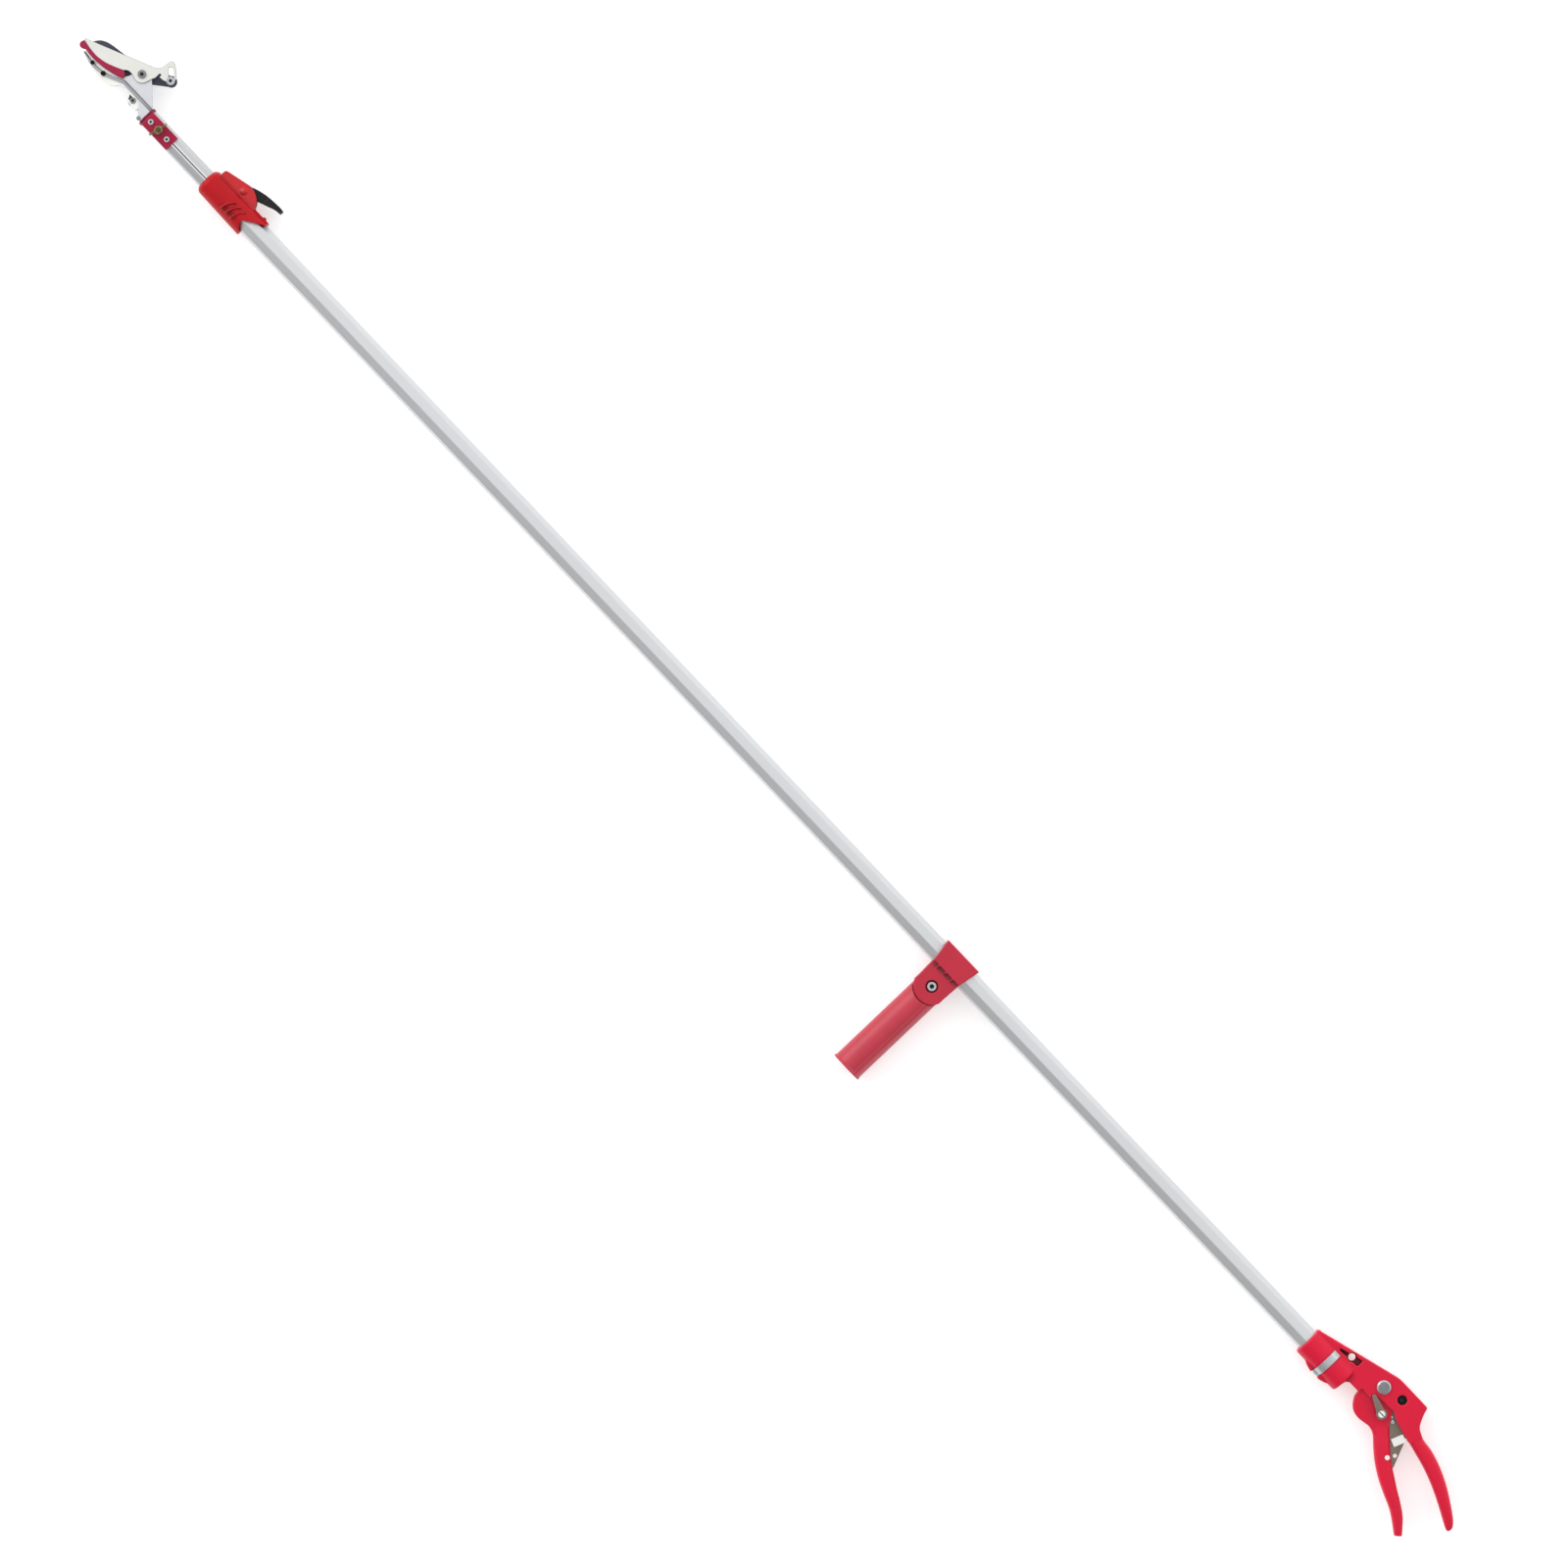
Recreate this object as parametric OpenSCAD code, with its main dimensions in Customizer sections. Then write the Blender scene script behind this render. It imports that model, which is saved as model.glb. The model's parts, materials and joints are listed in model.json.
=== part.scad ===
// Telescopic tree pruner pole, lying on its side. A trigger grip pulls a rod through two nested
// octagonal tubes and closes a bypass cutting head that keeps hold of the cut stem.
// X runs along the pole toward the head, Y toward the side handle, Z up. All sizes in millimetres.

/* [Pole] */
// Width of the outer tube across its flats
outer_af = 22.5; // [21:0.5:26]
// Wall of both tubes
tube_wall = 1.5; // [1:0.1:1.6]
// Play between the nested tubes on each side
tube_play = 0.25; // [0.15:0.05:0.35]
// Rounding of the tube corners
tube_round = 1.2; // [0.6:0.1:1.5]
// Length of the outer tube
outer_len = 1638; // [1200:1:1800]
// Length of the inner tube
inner_len = 1075; // [1020:1:1200]
// Length of inner tube that shows while the pole is closed
inner_show = 49; // [30:1:120]
// Turn of a tube ridge away from straight up, in degrees
ridge_turn = 9.6; // [0:0.1:22.5]

/* [Pull rod] */
// Radius of the rod that slides with the head
rod_r = 1.5; // [1:0.1:1.8]
// Wall of the lower pull tube
pull_wall = 0.8; // [0.6:0.1:1.2]
// Play between rod and pull tube
rod_play = 0.2; // [0.1:0.05:0.3]
// Offset of the rod from the pole axis, away from the side handle
rod_drop = 4.2; // [3.5:0.1:4.4]

/* [Trigger handle] */
// Length of the socket over the outer tube
socket_len = 56; // [45:1:80]
// Wall of the socket outside the tube corners
socket_wall = 4.2; // [3:0.1:5]
// Half thickness of the handle cheeks
cheek_half = 10; // [9:0.5:12]
// Half thickness of the trigger root between the cheeks
root_half = 5.4; // [4.5:0.1:6]
// Play between the trigger root and each cheek
root_play = 0.2; // [0.1:0.05:0.4]
// Swing of the trigger, in degrees
trigger_swing = 26; // [18:1:28]
// Height of the rod pin above the trigger pivot
pin_arm = 22; // [20:0.5:23]
// Radius of the trigger pivot bolt
pivot_r = 4; // [3:0.1:5]
// Half thickness of the trigger grip at its widest
lever_half = 9; // [7:0.5:11]
// Half thickness of the fixed grip at its widest
grip_half = 10.5; // [8:0.5:12]
// Thickness of the steel trigger plate
plate_t = 2.5; // [1.5:0.1:3]
// Radius of the hanging hole
hang_r = 3.8; // [2.5:0.1:4]
// Width of the steel strap round the socket
strap_w = 8; // [6:0.5:9]
// Thickness of the strap
strap_t = 2; // [1:0.1:2.4]
// Thickness of the trigger latch
latch_t = 2.2; // [1.5:0.1:3]

/* [Side handle] */
// Middle of the side handle, measured from the socket end of the pole
side_x = 581.5; // [300:0.5:1200]
// Half thickness of the side collar
collar_half = 17.7; // [17.5:0.1:20]
// Half thickness of the two lugs
lug_half = 13; // [11:0.5:14]
// Half thickness of the grip tongue between the lugs
tongue_half = 6; // [5:0.5:7]
// Distance from the pole axis to the fold pivot
fold_y = 30; // [28:0.5:36]
// Radius of the round grip
side_r = 16.7; // [14:0.1:17]
// Distance from the pole axis to the end of the grip
side_end = 150; // [120:1:180]
// Radius of the fold bolt
fold_r = 3; // [2.5:0.1:3.5]

/* [Telescope lock] */
// Length of the collar past the end of the outer tube
lock_nose = 48; // [46:1:60]
// Length of the collar tail over the outer tube
lock_tail = 29; // [28:1:40]
// Radius of the collar at its tail
lock_r = 16.2; // [15.6:0.1:17.4]
// Half thickness of the lever between its cheeks
lock_half = 4.9; // [4:0.1:5.2]
// Radius of the lever pivot pin
lock_pin_r = 2; // [1.5:0.1:2.5]

/* [Head] */
// Length of the red saddle on the inner tube
saddle_len = 40; // [38:1:50]
// Thickness of the saddle end rim
rim_t = 3.5; // [2.5:0.1:5]
// Radius of the stud that takes a saw blade
stud_r = 2.5; // [2:0.1:3]
// Thickness of the bracket plate, the counter blade and the cutting blade
head_plate_t = 3; // [2.5:0.1:3.2]
// Thickness of the stem holder plate
holder_t = 2; // [1.5:0.1:2.5]
// Running gap between the flat plates of the head
plate_gap = 0.3; // [0.2:0.05:0.4]
// Radius of the head pivot bolt
head_bolt_r = 3.5; // [3:0.1:4]
// Radius of the drive pin
drive_r = 2; // [1.6:0.1:2.2]
// Swing of the stem holder against its spring, in degrees
holder_swing = 22; // [15:1:23]

/* [Hidden] */
$fn = 48;
// play of a piece that sits tight in another
seat = 0.05;
// play of a shaft that turns in a bore
turn = 0.06;
outer_r = outer_af / 2 / cos(22.5);
inner_af = outer_af - 2 * tube_wall - 2 * tube_play;
inner_r = inner_af / 2 / cos(22.5);
cavity_af = inner_af - 2 * tube_wall;
tube_x0 = 2;
tube_end = tube_x0 + outer_len;
lock_x1 = tube_end + lock_nose;
head_x = lock_x1 + inner_show + saddle_len;
inner_end = head_x - rim_t - seat;
inner_x0 = inner_end - inner_len;
pull_r = rod_r + rod_play + pull_wall;
pull_end = inner_x0 + 350;
socket_r = outer_r + socket_wall;
strap_r = socket_r - 0.9;
pivot = [-32, -23];
slot_half = root_half + root_play;
stroke = 2 * pin_arm * tan(trigger_swing / 2);
rod_pin = [pivot[0] - pin_arm * tan(trigger_swing / 2), pivot[1] + pin_arm];
latch_pin = pivot + [-18, 20.5];
latch_z = cheek_half + 0.3;
rod_y = -rod_drop;
hp = [head_x + 33, -26];
drive_pin_at = [head_x + 20.5, -0.8];
stop_at = [head_x + 8, -42.5];
stop_r = norm(stop_at - hp);
stop_a = atan2(stop_at[1] - hp[1], stop_at[0] - hp[0]) + 360;
// heights of the flat plates of the head, from the rear
blade_z0 = -head_plate_t;
counter_z0 = plate_gap - 0.1;
bracket_z0 = counter_z0 + head_plate_t + 0.1;
holder_z0 = bracket_z0 + head_plate_t + plate_gap;
rail_z1 = holder_z0 + holder_t + 0.7;
link_z1 = blade_z0 - 0.4;
link_z0 = link_z1 - 3;
spring_wire = 1.4;
drive_rest_a = atan2(drive_pin_at[1] - hp[1], drive_pin_at[0] - hp[0]);
drive_open_a = atan2(drive_pin_at[1] - hp[1], drive_pin_at[0] + stroke - hp[0]);
blade_swing = drive_rest_a - drive_open_a;
drive_rest_r = norm(drive_pin_at - hp);
drive_open_r = norm(drive_pin_at + [stroke, 0] - hp);
side_rim_r = collar_half;
saddle_y = 0.9;
saddle_z = inner_r + 2;
stud_at = [head_x - saddle_len + 19.5, 1];
screw_at = [[head_x - saddle_len + 7, 1.5], [head_x - rim_t - 5.5, 1]];
lock_pin_at = [tube_end + 12, -inner_r - 9.2];
lock_pad_y = -inner_r - 2.9;
axis_h = collar_half;
mid_x = (pivot[0] - 153.5 + head_x + 100) / 2;
mid_y = (side_end + 0.5 - 58.4) / 2;
red_cast = [0.80, 0.10, 0.20];
red_nylon = [0.76, 0.12, 0.15];
red_coat = [0.62, 0.13, 0.24];
silver = [0.80, 0.81, 0.82];
steel = [0.68, 0.69, 0.70];
pale_steel = [0.86, 0.86, 0.84];
dark_steel = [0.20, 0.21, 0.25];
black = [0.12, 0.13, 0.13];
brass = [0.62, 0.50, 0.28];
zinc = [0.72, 0.73, 0.74];

// Points of an arc round c
function arc(c, r, a0, a1, n) =
  [for (i = [0:n]) let (a = a0 + (a1 - a0) * i / n) c + r * [cos(a), sin(a)]];

// Smooth curve through the points p, n steps a span
function blend(a, b, c, d, t) =
  0.5 * (2 * b + (c - a) * t + (2 * a - 5 * b + 4 * c - d) * t * t + (3 * b - a - 3 * c + d) * t * t * t);
function curve(p, n = 5) = let (m = len(p) - 1) concat(
  [for (i = [0:m - 1]) for (j = [0:n - 1])
    blend(p[max(i - 1, 0)], p[i], p[i + 1], p[min(i + 2, m)], j / n)],
  [p[m]]);

// The points p moved by o
function moved(p, o) = [for (q = p) q + o];

// Rounded octagon of a tube, as [y, z] points
function octagon(af, r) = [for (k = [0:7]) for (b = [-22.5, 0, 22.5])
  let (a = ridge_turn + 45 * k, e = (af / 2 - r) / cos(22.5))
  [e * sin(a) + r * sin(a + b), e * cos(a) + r * cos(a + b)]];

// Closed skin over rings of points
module skin(rings) {
  s = len(rings[0]);
  m = len(rings) - 1;
  side = [for (i = [0:m - 1]) for (k = [0:s - 1]) for (t = [0, 1])
    let (a = i * s + k, b = i * s + (k + 1) % s)
    t == 0 ? [a, b, b + s] : [a, b + s, a + s]];
  caps = [[for (k = [s - 1:-1:0]) k], [for (k = [0:s - 1]) m * s + k]];
  polyhedron(points = [for (g = rings) for (q = g) q], faces = concat(side, caps));
}

// Soft square power used by the grip sections
function soft(v) = sign(v) * pow(abs(v), 0.72);

// Grip body between an upper and a lower edge, h is the half thickness along it
module grip_body(upper, lower, h, steps = 3, sides = 20) {
  u = curve(upper, steps);
  l = curve(lower, steps);
  t = curve(h, steps);
  skin([for (i = [0:len(u) - 1]) [for (k = [0:sides - 1])
    let (a = 360 * k / sides, q = (u[i] + l[i]) / 2 + (u[i] - l[i]) / 2 * soft(cos(a)))
    [q[0], q[1], t[i] * soft(sin(a))]]]);
}

// Flat piece with the outline p between two heights
module slab(p, z0, z1) {
  translate([0, 0, z0]) linear_extrude(z1 - z0) polygon(p);
}

// Upright round piece at p
module post(p, r, z0, z1) {
  translate([p[0], p[1], z0]) cylinder(h = z1 - z0, r = r);
}

// Round-ended slot between a and b, with its flat sides a touch inside the round ends
module slot(a, b, r, z0, z1) {
  d = (b - a) / norm(b - a);
  n = [-d[1], d[0]] * (r - seat / 5);
  post(a, r, z0, z1);
  post(b, r, z0, z1);
  slab([a + n, a - n, b - n, b + n], z0, z1);
}

// Round piece along the pole
module bar(x0, x1, r, y = 0, z = 0) {
  translate([x0, y, z]) rotate([0, 90, 0]) cylinder(h = x1 - x0, r = r);
}

// Flat section in y and z drawn out along the pole
module along(x0, x1) {
  translate([x0, 0, 0]) rotate([90, 0, 90]) linear_extrude(x1 - x0) children();
}

// Box between two corners
module block(a, b) {
  translate(a) cube(b - a);
}

// Six-sided recess of a socket screw
module socket(p, af, z0, z1) {
  translate([p[0], p[1], z0]) cylinder(h = z1 - z0, r = af / sqrt(3), $fn = 6);
}

// Open coil round p with two straight ends, mean radius r
function coil(p, r, z0, pitch, turns, leg) = let (n = round(turns * 8), w = spring_wire / 2)
  [for (i = [-1:n + 1])
    let (t = 360 * min(max(i, 0), n) * turns / n, c = [cos(t), sin(t), 0], d = [-sin(t), cos(t), 0],
      o = p + r * c + [0, 0, z0 + pitch * min(max(i, 0), n) * turns / n]
        + d * (i < 0 ? -leg : i > n ? leg : 0))
    [for (k = [0:5]) o + w * cos(60 * k) * c + [0, 0, w * sin(60 * k)]]];
function middle(g) = [for (q = g) (q[0] + q[3]) / 2];
function least_gap(g) = let (m = middle(g))
  min([for (i = [0:len(m) - 6]) for (j = [i + 5:len(m) - 1]) norm(m[i] - m[j])]) - spring_wire;

// Moves the pole frame to the middle of the part's footprint, lying on z = 0
module lay() {
  translate([-mid_x, -mid_y, axis_h]) children();
}

module outer_tube() {
  color(silver) along(tube_x0, tube_end) difference() {
    polygon(octagon(outer_af, tube_round));
    polygon(octagon(outer_af - 2 * tube_wall, tube_round / 2));
  }
}

// Plug in the butt of the outer tube that guides the pull tube
module rod_guide() {
  color(black) difference() {
    along(tube_x0 + 2, tube_x0 + 22)
      polygon(octagon(outer_af - 2 * tube_wall - 2 * seat, tube_round / 2));
    bar(tube_x0, tube_x0 + 30, pull_r + 0.1, rod_y);
  }
}

module strap_ring(x0, x1, r0, r1) {
  difference() {
    bar(x0, x1, r1);
    bar(x0 - 1, x1 + 1, r0);
    block([x0 - 1, -40, -40], [x1 + 1, -13, 40]);
  }
}

// Handle body: socket, two cheeks and the fixed grip
module handle_body() {
  strap_x = socket_len / 2 - 2;
  back = curve(moved([[-46.5, -17], [-48, -12], [-51, -5], [-56, 2.5], [-65, 7]], pivot), 4);
  top = curve(moved([[-60, 20.8], [-53, 19], [-38, 15.5], [-25, 10]], pivot), 3);
  cheek = concat([[socket_len, 0], [socket_len, 1.4 - socket_r]],
    moved([[-3, -17.2], [-8, -18], [-45, -18]], pivot), back, top,
    moved([[1, 11], [2, 17], [14, 17], [15, 22]], pivot), [[-4, -1], [-1, 2], [0, 8]]);
  upper = moved([[-40, 16], [-56, 19.8], [-73, 23.6], [-90, 28], [-108, 34.4], [-126, 42.5],
      [-140, 49.6], [-148, 53.6], [-151.6, 54.4], [-153.2, 53.2]], pivot);
  lower = moved([[-54, 1], [-67, 7.2], [-81, 9], [-99, 14.2], [-118, 22.7], [-135.2, 33],
      [-147.2, 41.2], [-152.2, 46.2], [-153.6, 49.2], [-153.6, 51]], pivot);
  g = grip_half;
  color(red_cast) difference() {
    union() {
      rotate([0, 90, 0]) rotate_extrude($fn = 72) polygon(concat([[0, 0]],
        arc([socket_r - 2.6, 2.6], 2.6, -90, 0, 4),
        arc([socket_r - 2, socket_len - 2], 2, 0, 90, 4), [[0, socket_len]]));
      slab(cheek, -cheek_half, cheek_half);
      grip_body(upper, lower, g * [0.8, 0.95, 1, 1, 0.95, 0.86, 0.74, 0.6, 0.44, 0.16]);
      // guard hump beside the strap ear
      intersection() {
        post([strap_x, -14.2], socket_r + 18.2, -5, 5);
        block([strap_x - 16, 8, -6], [strap_x + 16, 30, 6]);
      }
    }
    along(tube_x0, socket_len + 1) polygon(octagon(outer_af + 2 * seat, tube_round));
    strap_ring(strap_x - strap_w / 2 - 0.2, strap_x + strap_w / 2 + 0.2, strap_r, socket_r + 12);
    // room for the trigger root
    block([pivot[0] - 34, pivot[1] - 13.5, -slot_half], [pivot[0], 40, slot_half]);
    post(pivot, 13.5, -slot_half, slot_half);
    block([pivot[0] - 1, pivot[1] - 6, -slot_half], [-6, 40, slot_half]);
    // way for the pull tube
    bar(-7, 3, pull_r + 0.5, rod_y);
    // room for the trigger plate
    block([pivot[0] - 64, pivot[1] + 9, -plate_t / 2 - 0.5],
        [pivot[0] - 30, pivot[1] + 34, plate_t / 2 + 0.5]);
    post(pivot, pivot_r + seat, -30, 30);
    post(pivot + [-22.5, -4.5], 3 + seat, -30, 30);
    post(pivot + [-22.5, -4.5], 5, cheek_half - 3.4, 30);
    // hanging hole in its three-cornered pocket
    post([12, -20.6], hang_r, -30, 30);
    for (s = [-1, 1]) {
      post([12, -20.6], hang_r + 1.3, s > 0 ? 3 : -30, s > 0 ? 30 : -3);
      slab([[2, -18], [2, -25.8], [34, -16]], s > 0 ? 3 : -30, s > 0 ? 30 : -3);
    }
  }
}

// Steel strap with its crimped ear
module socket_strap() {
  x = socket_len / 2 - 2;
  w = strap_w / 2;
  color(zinc) union() {
    strap_ring(x - w, x + w, strap_r + seat, strap_r + strap_t);
    intersection() {
      post([x, strap_r - 2.6], 6.4, -w, w);
      block([x - w, strap_r + strap_t / 2, -w], [x + w, strap_r + 8, w]);
    }
  }
}

module pivot_bolt() {
  color(zinc) union() {
    post(pivot, pivot_r, -cheek_half - 4, cheek_half + 0.5);
    post(pivot, 7.3, cheek_half, cheek_half + 2);
    translate([pivot[0], pivot[1], cheek_half + 2]) cylinder(h = 1.2, r1 = 7.3, r2 = 5.8);
  }
}

module pivot_nut() {
  color(zinc) difference() {
    translate([pivot[0], pivot[1], -cheek_half - 5]) cylinder(h = 5, r = 7.5, $fn = 6);
    post(pivot, pivot_r + seat, -30, 30);
  }
}

// Socket screw that ties the two cheeks together
module cheek_screw() {
  p = pivot + [-22.5, -4.5];
  color(black) difference() {
    union() {
      post(p, 3, -cheek_half + 1, cheek_half - 3);
      post(p, 4.8, cheek_half - 3.4, cheek_half - 0.6);
    }
    socket(p, 4.6, cheek_half - 2.6, 30);
  }
}

// Coil that opens the trigger, in a pocket of its root
return_coil = coil([pivot[0], pivot[1], 0], pivot_r + 3.6, -root_half + 0.9, 1.9, 1.5, 0.6);
module return_spring() {
  color(steel) skin(return_coil);
}

// Trigger: flat root between the cheeks and a rounded grip
module trigger_lever() {
  upper = moved([[-18, 38.3], [-27.6, 41.2], [-38.2, 50.5], [-50.3, 59.9], [-64.4, 68.3], [-79.4, 75.2],
      [-94.4, 81.4], [-106.1, 88.6], [-117.7, 96.9]], pivot);
  lower = moved([[-28, 17.5], [-37, 26], [-47, 35], [-59, 45], [-71, 52.7], [-86, 61.8], [-100, 69.8],
      [-111.5, 78], [-123.8, 91]], pivot);
  hump = curve(moved([[14, 17], [14, 23], [13, 28], [9, 34], [4, 38.5], [-3, 40.5], [-10, 40],
      [-18, 38.5], [-26, 39]], pivot), 3);
  root = concat(arc(pivot, 12, 190, 350, 16), hump, moved([[-34, 27], [-29, 16], [-18, 4]], pivot));
  h = lever_half;
  color(red_cast) difference() {
    union() {
      slab(root, -root_half, root_half);
      grip_body(upper, lower, [0.55 * h, 0.75 * h, 0.95 * h, h, h, h, 0.96 * h, 0.92 * h, 0.85 * h]);
    }
    post(pivot, pivot_r + turn, -30, 30);
    // room for the coil
    post(pivot, pivot_r + 5.4, -30, 0);
    // room for the eye of the pull tube
    block([rod_pin[0] - 6, rod_pin[1] - 8, -2], [pivot[0] + 40, rod_pin[1] + 13, 2]);
    post(rod_pin, 2 + seat, -30, root_half - 1.2);
    slab(plate_outline(0.1), -plate_t / 2 - seat, plate_t / 2 + seat);
    post(pivot + [-54.5, 47], 2 + seat, -30, 30);
    post(latch_pin, 2 + seat, -30, 30);
  }
}

// Outline of the trigger plate, o moves its upper edge into the grip
function plate_outline(o) = moved([[-69 - o, 54 + o], [-60, 51 + o], [-46, 41 + o], [-34, 30 + o],
  [-26, 20 + o], [-24.5, 9.8], [-38, 13.5], [-52, 17], [-56, 23]], pivot);

// Sheet-steel plate that carries the trigger's stop
module trigger_plate() {
  color(steel) difference() {
    slab(plate_outline(0), -plate_t / 2, plate_t / 2);
    post(pivot + [-59.5, 40], 2.2, -5, 5);
    post(pivot + [-28.5, 15.5], 1.4, -5, 5);
    post(pivot + [-54.5, 47], 2 + seat, -5, 5);
  }
}

// Bright blocks each side of the plate that meet the fixed grip
module stop_blocks() {
  p = moved([[-52, 34.6], [-44, 31.5], [-48.6, 18.9], [-57, 21.2]], pivot);
  color(pale_steel) {
    slab(p, plate_t / 2, plate_t / 2 + 3.6);
    slab(p, -plate_t / 2 - 3.6, -plate_t / 2);
  }
}

module plate_rivet() {
  p = pivot + [-54.5, 47];
  color(zinc) union() {
    post(p, 2, -lever_half - 0.2, lever_half + 0.2);
    post(p, 2.6, lever_half, lever_half + 0.8);
    post(p, 2.6, -lever_half - 0.8, -lever_half);
  }
}

// Pin of the pull tube's eye
module rod_pin() {
  color(zinc) post(rod_pin, 2, -root_half, root_half - 1.3);
}

// Dark bush that stands the latch off the trigger
module latch_bush() {
  color(black) difference() {
    post(latch_pin, 5, root_half, latch_z - 0.05);
    post(latch_pin, 2 + seat, -30, 30);
  }
}

module latch_screw() {
  color(zinc) difference() {
    union() {
      post(latch_pin, 2, -root_half + 1, latch_z + latch_t + 0.3);
      post(latch_pin, 3.6, latch_z + latch_t + 0.1, latch_z + latch_t + 1.8);
    }
    block([latch_pin[0] - 5, latch_pin[1] - 0.5, latch_z + latch_t + 1],
        [latch_pin[0] + 5, latch_pin[1] + 0.5, 30]);
  }
}

// Latch that keeps the trigger closed
module latch_lever() {
  tip = pivot + [0, 13.5];
  d = (tip - latch_pin) / norm(tip - latch_pin);
  n = [-d[1], d[0]];
  color(steel) difference() {
    union() {
      post(latch_pin, 5.6, latch_z, latch_z + latch_t);
      post(tip, 2.3, latch_z, latch_z + latch_t);
      slab([latch_pin + n * 4.6, latch_pin - n * 4.6, tip - n * 2.2, tip + n * 2.2],
        latch_z, latch_z + latch_t);
    }
    post(latch_pin, 2 + turn, -30, 30);
  }
}

// Lower pull tube, moved by the trigger
module pull_tube() {
  color(steel) difference() {
    bar(-5, pull_end, pull_r, rod_y);
    bar(-1, pull_end + 1, rod_r + rod_play, rod_y);
    block([-6, rod_y - 10, -1.55], [-2, rod_y + 10, 1.55]);
  }
}

// Flat eye at the lower end of the pull tube
module pull_eye() {
  c = [rod_pin[0], rod_pin[1] + 0.3];
  neck = pull_r - 0.7;
  neck_x = -8 - stroke;
  color(zinc) difference() {
    union() {
      post(c, 4.6, -1.5, 1.5);
      slab([c + [0, -4.5], c + [0, 2], [neck_x, rod_y + neck], [-2.1, rod_y + neck],
        [-2.1, rod_y - neck]], -1.5, 1.5);
    }
    post(c, 2.5, -5, 5);
  }
}

// Collet that grips the rod at the set length
module rod_clutch() {
  color(brass) difference() {
    bar(pull_end, pull_end + 28, pull_r + 0.9, rod_y);
    bar(pull_end - 1, pull_end + 29, rod_r + 0.06, rod_y);
  }
}

module pull_rod() {
  color(steel) bar(60, head_x - 5, rod_r, rod_y);
}

// Steel end of the rod with the flat link to the blade
module rod_end() {
  color(steel) difference() {
    union() {
      block([head_x - 17, rod_y - 2.4, link_z1 - 0.2], [head_x - 3, rod_y + 2.4, rod_r + 1]);
      slab([[head_x - 17, rod_y], [head_x - 4, rod_y], drive_pin_at + [0, -4], drive_pin_at + [0, 4],
          [head_x - 4, 2], [head_x - 17, 1]],
        link_z0, link_z1);
      post(drive_pin_at, 4, link_z0, link_z1);
    }
    bar(head_x - 18, head_x - 5 + seat, rod_r + seat, rod_y);
    post(drive_pin_at, drive_r + seat, -30, 30);
  }
}

// Pin through the link, the blade arm and the guide slot
module drive_pin() {
  color(zinc) difference() {
    union() {
      post(drive_pin_at, drive_r, link_z0 - 0.6, counter_z0 + head_plate_t + 0.5);
      post(drive_pin_at, 3.1, counter_z0 + head_plate_t + 0.3, counter_z0 + head_plate_t + 2.3);
      post(drive_pin_at, 3.1, link_z0 - 1.8, link_z0 - 0.1);
    }
    socket(drive_pin_at, 2.5, counter_z0 + head_plate_t + 1, 30);
  }
}

module inner_tube() {
  top_z = inner_af / 2 / cos(22.5 - ridge_turn);
  color(silver) difference() {
    along(inner_x0, inner_end) difference() {
      polygon(octagon(inner_af, tube_round));
      polygon(octagon(cavity_af, tube_round / 2));
      for (s = [-1, 1]) {
        translate([0, s * top_z]) square([1.2, 1.2], center = true);
      }
    }
    for (p = screw_at) {
      post(p, 2.1, 0, 30);
    }
    post(stud_at, stud_r + 0.1, 0, 30);
  }
}

// Wear ring on the lower end of the inner tube
module mast_bush() {
  color(black) difference() {
    along(inner_x0 - 10, inner_x0) polygon(octagon(inner_af + 2 * tube_play - 0.2, tube_round / 2));
    bar(inner_x0 - 11, inner_x0 + 1, cavity_af / 2 - 0.2);
  }
}

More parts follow.
